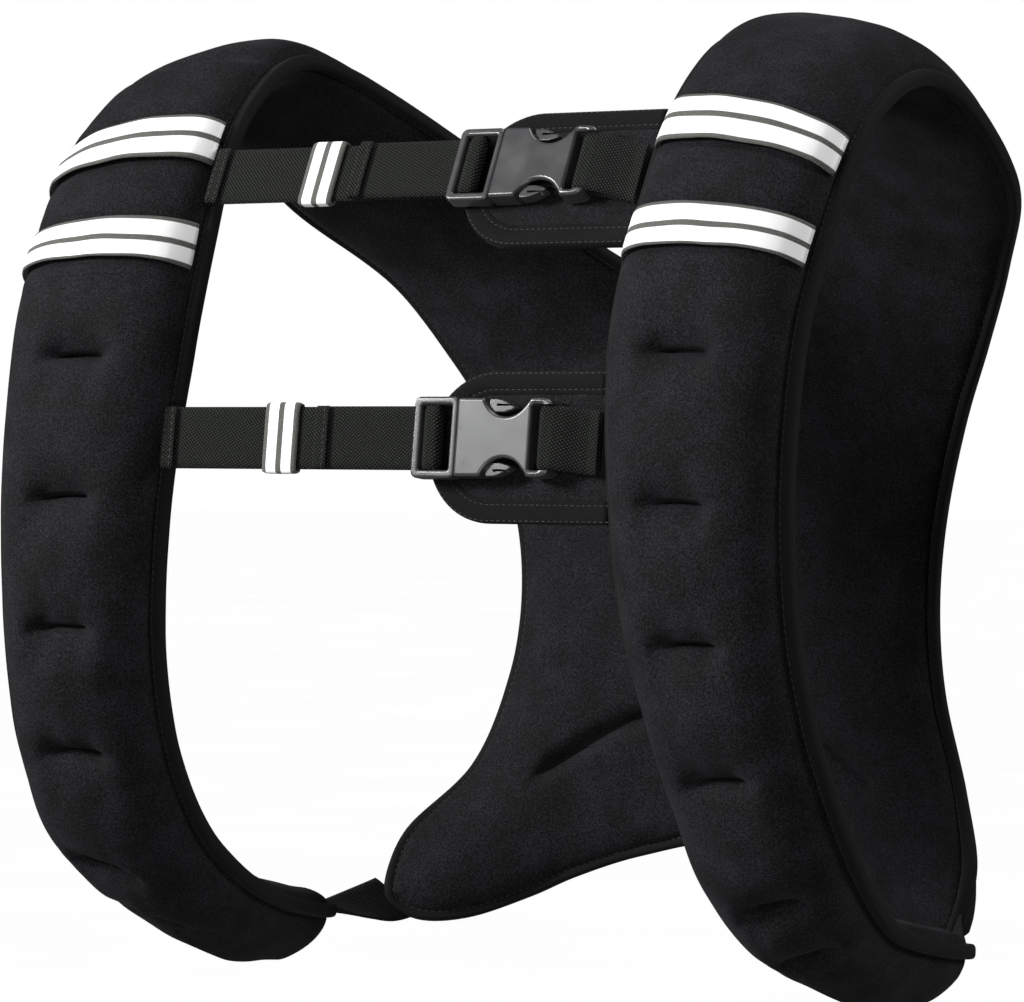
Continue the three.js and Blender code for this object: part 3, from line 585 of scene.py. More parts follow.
class Finishes:
    """Every material of the vest, each made once."""

    def __init__(self) -> None:
        """Makes the materials."""
        self.cloth = PaddingCloth().material()
        # Each tape's dark colour is painted shade between its threads and its light colour is painted
        # highlight on the thread tops.
        self.binding = Twill("edge_binding_weave", tone(5, 6, 5), tone(32, 35, 31),
                             0.85 * MM, 0.8, 0.00008, 0.5).material()
        self.webbing = Twill("webbing_weave", tone(1, 2, 1), tone(54, 60, 52),
                             1.6 * MM, 1.0, 0.0003).material()
        self.pad_tape = Twill("pad_tape_weave", tone(1, 2, 1), tone(21, 24, 20),
                              0.95 * MM, 0.9, 0.00014).material()
        self.ribbon = StripedRibbon().material()
        self.keeper = StripedRibbon(width=16.5 * MM, edge=2.2 * MM, middle=2.6 * MM,
                                    name="keeper_ribbon").material()
        # Both buckles are the same plastic; the upper one's colour is set a touch darker than the lower
        # one's as painted shade.
        self.upper_plastic = MouldedPlastic("upper_buckle_plastic", tone(58, 58, 60)).material()
        self.lower_plastic = MouldedPlastic("lower_buckle_plastic", tone(60, 61, 63)).material()
        self.thread = Thread().material()


SHARES = np.array([
    # inner x, y, z, outer x, y, z, loft, body: from the strap's tip over the shoulder to the hem
    (0.842, 0.512, -0.991, 0.842, 0.512, -0.991, 1.0, 1.2),
    (0.77, 0.484, -0.992, 0.912, 0.447, -0.989, 1.0, 1.2),
    (0.722, 0.35, -0.986, 0.935, 0.27, -0.979, 1.2, 1.1),
    (0.668, 0.107, -0.964, 0.958, 0.0, -0.951, 1.32, 1.0),
    (0.621, -0.22, -0.926, 1.005, -0.38, -0.903, 1.26, 1.0),
    (0.613, -0.52, -0.866, 1.032, -0.66, -0.843, 1.12, 1.0),
    (0.608, -0.73, -0.783, 1.026, -0.83, -0.766, 1.0, 1.0),
    (0.592, -0.87, -0.694, 1.013, -0.93, -0.691, 1.0, 1.0),
    (0.568, -0.96, -0.594, 1.0, -1.0, -0.594, 1.0, 1.0),
    (0.542, -0.975, -0.457, 0.995, -1.02, -0.463, 1.0, 1.0),
    (0.518, -0.91, -0.32, 0.997, -0.96, -0.323, 1.0, 1.0),
    (0.516, -0.8, -0.211, 1.005, -0.85, -0.223, 0.97, 0.95),
    (0.532, -0.56, -0.057, 1.013, -0.6, -0.1, 0.86, 0.9),
    (0.537, -0.3, 0.023, 1.008, -0.32, -0.029, 0.75, 0.85),
    (0.537, -0.04, 0.056, 1.0, 0.036, 0.005, 0.7, 0.8),
    (0.534, 0.167, 0.047, 0.987, 0.286, -0.023, 0.68, 0.8),
    (0.516, 0.429, 0.006, 0.953, 0.571, -0.111, 0.66, 0.8),
    (0.379, 0.714, -0.086, 0.826, 0.798, -0.197, 0.64, 0.8),
    (0.216, 0.875, -0.171, 0.726, 0.905, -0.289, 0.62, 0.85),
    (0.0, 0.97, -0.226, 0.642, 0.964, -0.38, 0.6, 0.9),
    (0.0, 0.988, -0.371, 0.579, 0.994, -0.5, 0.6, 0.95),
    (0.0, 1.0, -0.514, 0.563, 0.994, -0.609, 0.6, 1.0),
    (0.0, 1.003, -0.643, 0.589, 0.973, -0.711, 0.6, 1.0),
    (0.0, 1.003, -0.749, 0.663, 0.923, -0.82, 0.6, 1.0),
    (0.0, 1.003, -0.837, 0.76, 0.755, -0.9, 0.6, 1.0),
    (0.0, 0.994, -0.909, 0.764, 0.66, -0.974, 0.6, 1.0),
])
HEM_SHARES = np.array([
    # x, y, z from the middle of the hem to the lower corner
    (0.0, 0.994, -0.909),
    (0.214, 0.97, -0.931),
    (0.363, 0.923, -0.959),
    (0.461, 0.875, -0.985),
    (0.572, 0.792, -1.01),
    (0.66, 0.72, -1.016),
    (0.725, 0.68, -1.004),
    (0.764, 0.66, -0.974),
])
SEAM, NECK, LAST = 12, 19, len(SHARES) - 1


@dataclass(frozen=True)
class VestSizes:
    """Sizes of the padding and its edge, in metres."""

    half_width: float = 190.0 * MM
    front_reach: float = 100.0 * MM
    back_reach: float = 168.0 * MM
    hang: float = 350.0 * MM
    inset: float = 4.0 * MM
    edge_half: float = 2.2 * MM
    outer_loft: float = 21.5 * MM
    body_loft: float = 9.0 * MM
    roll: float = 44.0 * MM
    power: float = 2.4
    tape_depth: float = 5.0 * MM
    tape_thickness: float = 6.2 * MM
    seam_gap: float = -0.9 * MM

    def from_shares(self, shares: Points) -> Points:
        """Points in metres from shares of the named sizes.

        Args:
            shares: Rows of x, y and z as shares.

        Returns:
            Rows of points.
        """
        depth = np.where(shares[:, 1] < 0.0, self.front_reach, self.back_reach)
        return shares * np.stack([np.full(len(shares), self.half_width), depth,
                                  np.full(len(shares), self.hang)], axis=1)


class Sheet:
    """The sheet midway through the padding of the +X side."""

    def __init__(self, sizes: VestSizes, inset: float = 0.0, outline: "Sheet | None" = None) -> None:
        """Lays the sheet out.

        Args:
            sizes: The vest's sizes.
            inset: How far the whole outline is drawn in.
            outline: The sheet whose edges the inset is measured from.
        """
        self.inset = inset
        self.outline = outline
        inner = sizes.from_shares(SHARES[:, 0:3])
        outer = sizes.from_shares(SHARES[:, 3:6])
        hem = sizes.from_shares(HEM_SHARES)
        self.neck_curve = curve_through(inner[:NECK + 1], outer[1], flipped(inner[NECK - 1]))
        spine = inner[NECK:]
        self.spine_curve = curve_through(spine, 2 * spine[0] - spine[1], 2 * spine[-1] - spine[-2])
        self.arm_curve = curve_through(outer, inner[1], hem[-2])
        self.hem_curve = curve_through(hem, flipped(hem[1]), outer[-2])
        self.hem_steps = len(hem) - 1

    def inner(self, t: Points) -> Points:
        """The neck edge, and below it the middle of the back.

        Args:
            t: Places along the section table.

        Returns:
            Points on the edge.
        """
        t = np.asarray(t, float)
        neck = self.neck_curve(np.minimum(t, NECK))
        spine = self.spine_curve(np.maximum(t - NECK, 0.0))
        if self.outline is not None:
            neck = neck + self.outline.inward(Edge.NECK, np.minimum(t, NECK)) * self.inset
            drop = self.inset * (2.0 * (t - NECK) / (LAST - NECK) - 1.0)
            spine = spine + drop[..., None] * np.array([0.0, 0.0, 1.0])
        return np.where((t <= NECK)[..., None], neck, spine)

    def outer(self, t: Points) -> Points:
        """The arm edge.

        Args:
            t: Places along the section table.

        Returns:
            Points on the edge.
        """
        points = self.arm_curve(t)
        if self.outline is not None:
            points = points + self.outline.inward(Edge.ARM, t) * self.inset
        return points

    def hem(self, u: Points) -> Points:
        """The lower edge, from the middle to the corner.

        Args:
            u: Shares from the middle to the corner.

        Returns:
            Points on the edge.
        """
        points = self.hem_curve(np.asarray(u, float) * self.hem_steps)
        if self.outline is not None:
            points = points + self.outline.inward(Edge.HEM, u) * self.inset
        return points

    def _row(self, t: Points, u: Points) -> Points:
        """A straight run across, bowed at the back of the neck.

        Args:
            t: Places along the section table.
            u: Shares across, from the neck edge to the arm edge.

        Returns:
            Points of the sheet, before the hem pulls it down.
        """
        a, b = self.inner(t), self.outer(t)
        bow = u ** (1.0 + 1.2 * smooth((t - SEAM - 4.0) / (NECK - SEAM - 3.0)))
        share = np.stack([u + 0.0 * bow, bow, u + 0.0 * bow], axis=-1)
        return a + (b - a) * share

    def at(self, t: Points, u: Points) -> Points:
        """The point at a place along the section table and a share across.

        Args:
            t: Places along the section table.
            u: Shares across, from the neck edge to the arm edge.

        Returns:
            Points of the sheet.
        """
        t, u = np.broadcast_arrays(np.asarray(t, float), np.asarray(u, float))
        start = NECK + 1.0
        share = np.clip((t - start) / (LAST - start), 0.0, None) ** 1.5
        shift = self.hem(u) - self._row(np.full_like(t, LAST), u)
        return self._row(t, u) + shift * share[..., None]

    def normal(self, t: Points, u: Points) -> Points:
        """The direction away from the body.

        Args:
            t: Places along the section table.
            u: Shares across, from the neck edge to the arm edge.

        Returns:
            Directions of length 1.
        """
        t, u = np.broadcast_arrays(np.asarray(t, float), np.asarray(u, float))
        step = 0.02
        s = np.clip(t, 0.6, LAST - 0.4)
        v = 0.5 + np.clip(u - 0.5, -0.4, 0.4) * np.minimum(t / 0.6, 1.0)
        along = self.at(s + step, v) - self.at(s - step, v)
        across = self.at(s, v + step) - self.at(s, v - step)
        normal = np.cross(across, along)
        spine = smooth(t - NECK + 1.0)
        normal[..., 0] *= 1.0 + spine * (smooth(u / 0.2) - 1.0)
        return unit(normal)

    def line(self, edge: Edge, t: Points) -> Points:
        """A point on one of the edges."""
        return {Edge.NECK: self.inner, Edge.ARM: self.outer, Edge.HEM: self.hem}[edge](t)

    def tangent(self, edge: Edge, t: Points) -> Points:
        """The direction along an edge.

        Args:
            edge: Which edge.
            t: Places along it.

        Returns:
            Directions of length 1.
        """
        t = np.asarray(t, float)
        step = 0.01
        along = unit(self.line(edge, t + step) - self.line(edge, t - step))
        if edge is Edge.NECK:
            along = np.where((t > NECK - step)[..., None], np.array([-1.0, 0.0, 0.0]), along)
        if edge is Edge.HEM:
            along = np.where((t < step)[..., None], np.array([1.0, 0.0, 0.0]), along)
        return along

    def edge_normal(self, edge: Edge, t: Points) -> Points:
        """The padding's normal at an edge.

        Args:
            edge: Which edge.
            t: Places along it.

        Returns:
            Directions of length 1.
        """
        t = np.asarray(t, float)
        if edge is Edge.HEM:
            return self.normal(np.full_like(t, LAST), t)
        return self.normal(t, np.full_like(t, 0.0 if edge is Edge.NECK else 1.0))

    def inward(self, edge: Edge, t: Points) -> Points:
        """The direction from an edge into the padding.

        Args:
            edge: Which edge.
            t: Places along it.

        Returns:
            Directions of length 1.
        """
        t = np.asarray(t, float)
        side = unit(np.cross(self.edge_normal(edge, t), self.tangent(edge, t)))
        if edge is Edge.HEM:
            inside = self.at(np.full_like(t, LAST - 1.5), np.minimum(t, 0.75))
        else:
            inside = self.at(np.maximum(t, 1.5), np.full_like(t, 0.5))
            if edge is Edge.ARM:
                corner = self.at(np.full_like(t, LAST - 1.0), np.full_like(t, 0.7))
                inside = np.where((t > LAST - 1.0)[..., None], corner, inside)
        facing = np.sum(side * (inside - self.line(edge, t)), axis=-1, keepdims=True)
        return np.where(facing < 0.0, -side, side)


@dataclass
class Tack:
    """A short cross stitch that pulls the padding in."""

    section: float
    across: float
    half_width: float = 10.5 * MM


@dataclass
class Form:
    """The padded form of one side: its sheet, its swelling and what pulls it in."""

    sizes: VestSizes = field(default_factory=VestSizes)
    tacks: tuple[Tack, ...] = (
        Tack(3.95, 0.59), Tack(4.8, 0.58), Tack(6.35, 0.5), Tack(7.85, 0.5), Tack(8.95, 0.5),
        Tack(10.1, 0.5),
    )
    bands: tuple[float, ...] = (12.0, 11.2)
    dimple_depth: float = 4.6 * MM
    dimple_height: float = 12.0 * MM
    dimple_half_width: float = 15.0 * MM
    pinch_depth: float = 3.2 * MM
    pinch_height: float = 4.2 * MM
    slit_depth: float = 5.2 * MM
    slit_height: float = 0.95 * MM
    bow: float = 0.5 * MM
    fold_depth: float = 0.8 * MM
    fold_reach: float = 8.0 * MM
    fold_width: float = 2.4 * MM
    fold_start: float = 1.2
    fold_slopes: tuple[tuple[float, float], ...] = ((-1.0, 0.35), (1.0, -0.55), (-1.0, -0.5), (1.0, 0.3))
    arch_depth: float = 4.5 * MM
    arch_width: float = 5.0 * MM
    arch_slit_depth: float = 2.4 * MM
    arch_slit_width: float = 1.5 * MM
    arch_span: float = 0.474
    arch_top: float = -0.73
    arch_drop: float = 0.109
    band_pull: float = 1.5 * MM
    band_half: float = 8.5 * MM
    band_fade: float = 5.0 * MM
    bulge_height: float = 0.8 * MM
    bulge_away: float = 7.0 * MM
    bulge_width: float = 4.5 * MM
    crease_at: float = 13.35
    crease_slant: float = 0.3
    crease_depth: float = 4.2 * MM
    crease_width: float = 5.0 * MM
    ridge_height: float = 1.6 * MM
    ridge_away: float = 9.0 * MM
    ridge_width: float = 6.0 * MM

    def __post_init__(self) -> None:
        """Lays out the sheets and the outline that distances are measured from."""
        self.outline = Sheet(self.sizes)
        inset = self.sizes.inset
        self.edge_sheet = Sheet(self.sizes, inset, self.outline)
        inset += self.sizes.tape_depth / 2 + self.sizes.seam_gap
        self.sheet = Sheet(self.sizes, inset, self.outline)
        step = 0.02
        arm = self.sheet.outer(np.arange(0.0, LAST + step / 2, step))
        neck = self.sheet.inner(np.arange(0.0, NECK + step / 2, step))
        hem = self.sheet.hem(np.arange(0.0, 1.0, 0.005))
        samples = np.vstack([arm, neck, hem])
        near = samples[samples[:, 0] < self.sizes.roll]
        samples = np.vstack([samples, flipped(near)])
        self.rim = KDTree(len(samples))
        for k, point in enumerate(samples):
            self.rim.insert(point, k)
        self.rim.balance()

    def speed(self, t: float) -> float:
        """Metres along the padding for one step of the section table."""
        ends = self.sheet.at(np.array([t - 0.05, t + 0.05]), np.array([0.5, 0.5]))
        return float(np.linalg.norm(ends[1] - ends[0])) / 0.1

    def width(self, t: Points) -> Points:
        """Width of the padding at a place along the table."""
        return np.linalg.norm(self.sheet.inner(t) - self.sheet.outer(t), axis=-1)

    def column(self, number: int, t: Points) -> Points:
        """Reads a column of the section table between its rows.

        Args:
            number: Which column.
            t: Places along the section table.

        Returns:
            The values, eased from row to row.
        """
        k = np.clip(np.floor(t).astype(int), 0, LAST - 1)
        f = smooth(t - k)
        return SHARES[k, number] * (1.0 - f) + SHARES[k + 1, number] * f

    def edge_distance(self, t: Points, u: Points, points: Points) -> Points:
        """How far each point lies from the nearest edge of the padding.

        Args:
            t: Places along the section table.
            u: Shares across, from the neck edge to the arm edge.
            points: The points of the sheet there.

        Returns:
            Distances, in metres.
        """
        flat = points.reshape(-1, 3)
        near = np.array([self.rim.find(p)[2] for p in flat]).reshape(points.shape[:-1])
        width = self.width(t)
        left = np.where(t > NECK, np.inf, u * width)
        return np.minimum(near, np.minimum(left, (1.0 - u) * width))

    def swell(self, distance: Points) -> Points:
        """The padding's height as a share, by distance from its edge."""
        rim = 1.0 - np.minimum(distance / self.sizes.roll, 1.0)
        return np.sqrt(np.maximum(0.0, 1.0 - rim**self.sizes.power))

    def tack_pull(self, t: Points, u: Points) -> Points:
        """How far the tacks pull the outer face in.

        Args:
            t: Places along the section table.
            u: Shares across, from the neck edge to the arm edge.

        Returns:
            Depths, in metres.
        """
        pull = np.zeros(np.broadcast(t, u).shape)
        for tack in self.tacks:
            width = float(self.width(np.array(tack.section)))
            speed = self.speed(tack.section)
            aside = (u - tack.across) * width
            away = (t - tack.section) * speed
            away = away - self.bow * np.clip(1.0 - (aside / tack.half_width) ** 2, -0.8, 1.0)
            soft = np.exp(-((aside / self.dimple_half_width) ** 4))
            hard = np.exp(-((aside / tack.half_width) ** 6))
            pull += soft * self.dimple_depth * bell(away, self.dimple_height)
            pull += soft * self.pinch_depth * bell(away, self.pinch_height)
            pull += hard * self.slit_depth * bell(away, self.slit_height)
            for end, slope in self.fold_slopes:
                reach = aside - end * tack.half_width * self.fold_start
                fade = bell(reach, self.fold_reach)
                pull += self.fold_depth * fade * bell(away - slope * reach * end, self.fold_width)
        return pull

    def band_squeeze(self, t: Points) -> Points:
        """How far the reflective bands press the padding in.

        Args:
            t: Places along the section table.

        Returns:
            Depths, in metres.
        """
        pull = np.zeros(t.shape)
        for section in self.bands:
            away = np.abs(t - section) * self.speed(section)
            pull += self.band_pull * (1.0 - smooth((away - self.band_half) / self.band_fade))
            pull -= self.bulge_height * bell(away - self.band_half - self.bulge_away, self.bulge_width)
        return pull

    def outer_height(self, t: Points, u: Points, points: Points, creased: bool) -> Points:
        """Height of the outer face above the sheet.

        Args:
            t: Places along the section table.
            u: Shares across, from the neck edge to the arm edge.
            points: The points of the sheet there.
            creased: Whether the shoulder's crease is on this side.

        Returns:
            Heights, in metres.
        """
        edge = self.swell(self.edge_distance(t, u, points))
        pull = np.where(t < SEAM, self.tack_pull(t, u), 0.0) + self.band_squeeze(t)
        if creased:
            pull = pull + self.crease(t, u)
        loft = self.sizes.outer_loft * self.column(6, t)
        lump = 0.7 * MM * ripple(points, 55.0 * MM, 3) + 0.25 * MM * ripple(points, 19.0 * MM, 4)
        return self.sizes.edge_half + edge * np.maximum(0.0, loft - pull + lump)

    def crease(self, t: Points, u: Points) -> Points:
        """The crease across the wearer's right shoulder.

        Args:
            t: Places along the section table.
            u: Shares across, from the neck edge to the arm edge.

        Returns:
            Depths, in metres.
        """
        away = (t - self.crease_at + self.crease_slant * u) * self.speed(self.crease_at)
        deep = self.crease_depth * bell(away, self.crease_width)
        ridge = self.ridge_height * bell(away + self.ridge_away, self.ridge_width)
        return (deep - ridge) * smooth((0.95 - u) / 0.3)

    def body_height(self, t: Points, u: Points, points: Points) -> Points:
        """Height of the body-side face below the sheet.

        Args:
            t: Places along the section table.
            u: Shares across, from the neck edge to the arm edge.
            points: The points of the sheet there.

        Returns:
            Heights, in metres.
        """
        edge = self.swell(self.edge_distance(t, u, points))
        span = self.arch_span * self.sizes.half_width
        share = np.minimum(np.abs(points[..., 0]) / span, 1.0)
        away = points[..., 2] - (self.arch_top - self.arch_drop * share**2) * self.sizes.hang
        inside = (t > NECK) & (np.abs(points[..., 0]) < span)
        groove = self.arch_depth * bell(away, self.arch_width)
        groove += self.arch_slit_depth * bell(away, self.arch_slit_width)
        pull = np.where(inside, groove * smooth((1.02 - share) / 0.15), 0.0)
        loft = self.sizes.body_loft * self.column(7, t)
        lump = 0.5 * MM * ripple(points, 48.0 * MM, 9)
        return self.sizes.edge_half + edge * np.maximum(0.0, loft - pull + lump)

    def faces(self, t: Points, u: Points, creased: bool = False) -> tuple[Points, Points]:
        """Both faces of the padding over a grid.

        Args:
            t: Places along the table, one for each row.
            u: Shares across, one for each column.
            creased: Whether the shoulder's crease is on this side.

        Returns:
            The outer face and the body-side face, rows by columns by 3.
        """
        t, u = np.broadcast_arrays(t[:, None], u[None, :])
        u = np.where(t == 0.0, 0.5, u)
        points = self.sheet.at(t, u)
        normal = self.sheet.normal(t, u)
        outer = points + normal * self.outer_height(t, u, points, creased)[..., None]
        body = points - normal * self.body_height(t, u, points)[..., None]
        on_spine = (u == 0.0) & (t >= NECK)
        outer[..., 0] = np.where(on_spine, 0.0, outer[..., 0])
        body[..., 0] = np.where(on_spine, 0.0, body[..., 0])
        return outer, body

    def outer_at(self, t: Points, u: Points) -> tuple[Points, Points]:
        """Points on the plain outer face, and the face's own normal there.

        Args:
            t: Places along the section table.
            u: Shares across, from the neck edge to the arm edge.

        Returns:
            The points and the normals.
        """
        t, u = np.broadcast_arrays(np.asarray(t, float), np.asarray(u, float))

        def read(a: Points, b: Points) -> Points:
            """Points on the outer face.

            Args:
                a: Places along the section table.
                b: Shares across, from the neck edge to the arm edge.

            Returns:
                The points.
            """
            points = self.sheet.at(a, b)
            height = self.outer_height(a, b, points, False)
            return points + self.sheet.normal(a, b) * height[..., None]

        step = 0.01
        v = np.clip(u, step, 1.0 - step)
        along = read(t + step, v) - read(t - step, v)
        across = read(t, v + step) - read(t, v - step)
        return read(t, u), unit(np.cross(across, along))


@dataclass
class Padding:
    """The three filled bodies of the vest."""

    form: Form
    finishes: Finishes
    row_step: float = 1.9 * MM
    tack_density: float = 3.4
    tack_reach: float = 4.5 * MM
    strap_columns: int = 64
    panel_columns: int = 70
    yoke_gap: float = 0.15 * MM

    def rows(self, start: float, end: float) -> Points:
        """Places along the table, closest together where the tacks are.

        Args:
            start: The first place.
            end: The last place.

        Returns:
            The places, in order.
        """
        coarse = np.linspace(start, end, 2400)
        points = self.form.sheet.at(coarse, np.full_like(coarse, 0.5))
        steps = np.linalg.norm(np.diff(points, axis=0), axis=1)
        middle = (coarse[1:] + coarse[:-1]) / 2
        density = np.ones_like(middle)
        for tack in self.form.tacks:
            away = (middle - tack.section) * self.form.speed(tack.section)
            density += self.tack_density * np.exp(-((away / self.tack_reach) ** 4))
        effort = np.concatenate([[0.0], np.cumsum(steps * density)])
        count = max(8, int(effort[-1] / self.row_step))
        return np.interp(np.linspace(0.0, effort[-1], count), effort, coarse)

    def build(self) -> list[bpy.types.Object]:
        """Makes the straps and the back panel.

        Returns:
            The pieces, dressed and settled.
        """
        gap = self.yoke_gap / self.form.speed(SEAM)
        strap_rows = np.concatenate([np.linspace(0.0, 1.0, 14)[:-1], self.rows(1.0, SEAM - gap)])
        share = np.linspace(0.0, 1.0, self.strap_columns)
        across = (share + (1.0 - np.cos(np.pi * share)) / 2.0) / 2.0
        outer, body = self.form.faces(strap_rows, across)
        made = []
        for name, turn in (("left_strap", False), ("right_strap", True)):
            shell = Shell()
            self.close(shell, outer, body, len(strap_rows), turn)
            piece = shell.piece(f"{name}_padding", self.finishes.cloth)
            made.append(settle(piece, "padding", [name]))
        share = np.linspace(0.0, 1.0, self.panel_columns)
        across = (share + np.sin(np.pi * share / 2.0)) / 2.0
        yoke = self.rows(SEAM + gap, NECK)
        rows = np.concatenate([yoke, self.rows(NECK, LAST)[1:]])
        shell = Shell()
        for creased in (False, True):
            outer, body = self.form.faces(rows, across, creased)
            self.close(shell, outer, body, len(yoke), creased)
        piece = shell.piece("back_padding", self.finishes.cloth)
        made.append(settle(piece, "padding", ["back_panel"]))
        return made

    @staticmethod
    def close(shell: Shell, outer: Points, body: Points, wall_rows: int, mirror: bool) -> None:
        """Adds both faces and the walls round them.

        Args:
            shell: Takes the faces.
            outer: The outer face.
            body: The body-side face.
            wall_rows: How many rows have a wall on the neck side.
            mirror: Whether it is the other side of the vest.
        """
        if mirror:
            outer, body = flipped(outer), flipped(body)
        shell.grid(outer, turn=mirror)
        shell.grid(body, turn=not mirror)
        shell.grid(np.stack([body[:wall_rows, 0], outer[:wall_rows, 0]], axis=1), turn=mirror)
        shell.grid(np.stack([outer[:, -1], body[:, -1]], axis=1), turn=mirror)
        shell.grid(np.stack([outer[0], body[0]], axis=0)[::-1], turn=mirror)
        shell.grid(np.stack([body[-1], outer[-1]], axis=0)[::-1], turn=mirror)


def tube(shell: Shell, rings: Points, weave: Points, closed: bool) -> None:
    """Adds a run of section rings, with flat ends unless it closes on itself.

    Args:
        shell: Takes the faces.
        rings: Rings by points by 3.
        weave: The cloth's directions, with one more point in each ring.
        closed: Whether the run closes on itself.
    """
    rings = np.concatenate([rings, rings[:, :1]], axis=1)
    shell.grid(rings, weave)
    if closed:
        return
    for ring, turn in ((rings[0], True), (rings[-1], False)):
        middle = np.repeat(ring[:-1].mean(axis=0)[None, :], len(ring), axis=0)
        shell.grid(np.stack([ring, middle], axis=0), turn=turn)


def weave_of(rings: Points) -> Points:
    """Distances along and round a run of rings, in metres.

    Args:
        rings: Rings by points by 3.

    Returns:
        The cloth's directions at each point.
    """
    closed = np.concatenate([rings, rings[:, :1]], axis=1)
    steps = np.linalg.norm(np.diff(closed, axis=1), axis=2).mean(axis=0)
    around = np.concatenate([[0.0], np.cumsum(steps)])
    return cloth_grid(distances(rings.mean(axis=1)), around)


class StitchTree:
    """Geometry nodes that lay stitches along a sewn line."""

    NAME = "sewn_line"

    def __init__(self) -> None:
        """Builds the tree with its named inputs."""
        tree = bpy.data.node_groups.new(self.NAME, "GeometryNodeTree")
        face = tree.interface
        face.new_socket("Geometry", in_out="INPUT", socket_type="NodeSocketGeometry")
        self.keys = {}
        for key in ("Spacing", "Length", "Width", "Height"):
            socket = face.new_socket(key, in_out="INPUT", socket_type="NodeSocketFloat")
            self.keys[key] = socket.identifier
        socket = face.new_socket("Thread", in_out="INPUT", socket_type="NodeSocketMaterial")
        self.keys["Thread"] = socket.identifier
        face.new_socket("Geometry", in_out="OUTPUT", socket_type="NodeSocketGeometry")
        new = tree.nodes.new
        link = tree.links.new
        start, end = new("NodeGroupInput"), new("NodeGroupOutput")
        curve = new("GeometryNodeMeshToCurve")
        spaced = new("GeometryNodeResampleCurve")
        spaced.mode = "LENGTH"
        ball = new("GeometryNodeMeshUVSphere")
        ball.inputs["Segments"].default_value = 6
        ball.inputs["Rings"].default_value = 4
        ball.inputs["Radius"].default_value = 0.5
        size = new("ShaderNodeCombineXYZ")
        shape = new("GeometryNodeTransform")
        up = new("GeometryNodeInputNamedAttribute")
        up.data_type = "FLOAT_VECTOR"
        up.inputs["Name"].default_value = "up"
        tangent = new("GeometryNodeInputTangent")
        along = new("FunctionNodeAlignEulerToVector")
        along.axis = "X"
        turned = new("FunctionNodeAlignEulerToVector")
        turned.axis = "Z"
        turned.pivot_axis = "X"
        place = new("GeometryNodeInstanceOnPoints")
        real = new("GeometryNodeRealizeInstances")
        paint = new("GeometryNodeSetMaterial")
        link(start.outputs["Geometry"], curve.inputs["Mesh"])
        link(curve.outputs["Curve"], spaced.inputs["Curve"])
        link(start.outputs["Spacing"], spaced.inputs["Length"])
        for axis, key in zip("XYZ", ("Length", "Width", "Height")):
            link(start.outputs[key], size.inputs[axis])
        link(ball.outputs["Mesh"], shape.inputs["Geometry"])
        link(size.outputs["Vector"], shape.inputs["Scale"])
        link(tangent.outputs["Tangent"], along.inputs["Vector"])
        link(along.outputs["Rotation"], turned.inputs["Rotation"])
        link(up.outputs["Attribute"], turned.inputs["Vector"])
        link(spaced.outputs["Curve"], place.inputs["Points"])
        link(shape.outputs["Geometry"], place.inputs["Instance"])
        link(turned.outputs["Rotation"], place.inputs["Rotation"])
        link(place.outputs["Instances"], real.inputs["Geometry"])
        link(real.outputs["Geometry"], paint.inputs["Geometry"])
        link(start.outputs["Thread"], paint.inputs["Material"])
        link(paint.outputs["Geometry"], end.inputs["Geometry"])
        self.tree = tree

    def sew(self, name: str, lines: Sequence[tuple[Points, Points]], thread: bpy.types.Material,
            spacing: float = 3.4 * MM, length: float = 2.5 * MM, width: float = 0.55 * MM,
            height: float = 0.4 * MM) -> bpy.types.Object:
        """Lays stitches along lines.

        Args:
            name: The piece's name.
            lines: For each line its points and the direction away from the cloth at each.
            thread: The thread's material.
            spacing: From stitch to stitch.
            length: Of one stitch.
            width: Of one stitch.
            height: Of one stitch.

        Returns:
            The plain mesh of all the stitches.
        """
        points = np.vstack([line for line, _ in lines])
        ups = np.vstack([up for _, up in lines])
        edges, start = [], 0
        for line, _ in lines:
            edges += [(start + k, start + k + 1) for k in range(len(line) - 1)]
            start += len(line)
        mesh = bpy.data.meshes.new(f"{name}_line")
        mesh.from_pydata(points.tolist(), edges, [])
        layer = mesh.attributes.new("up", "FLOAT_VECTOR", "POINT")
        layer.data.foreach_set("vector", ups.astype(np.float32).ravel())
        source = add_object(f"{name}_line", mesh)
        modifier = source.modifiers.new("sewing", "NODES")
        modifier.node_group = self.tree
        values = {"Spacing": spacing, "Length": length, "Width": width, "Height": height,
                  "Thread": thread}
        for key, value in values.items():
            modifier[self.keys[key]] = value
        view = bpy.context.evaluated_depsgraph_get()
        made = bpy.data.meshes.new_from_object(source.evaluated_get(view), depsgraph=view)
        bpy.data.objects.remove(source)
        made.name = name
        if not made.materials:
            made.materials.append(thread)
        made.shade_smooth()
        return add_object(name, made)


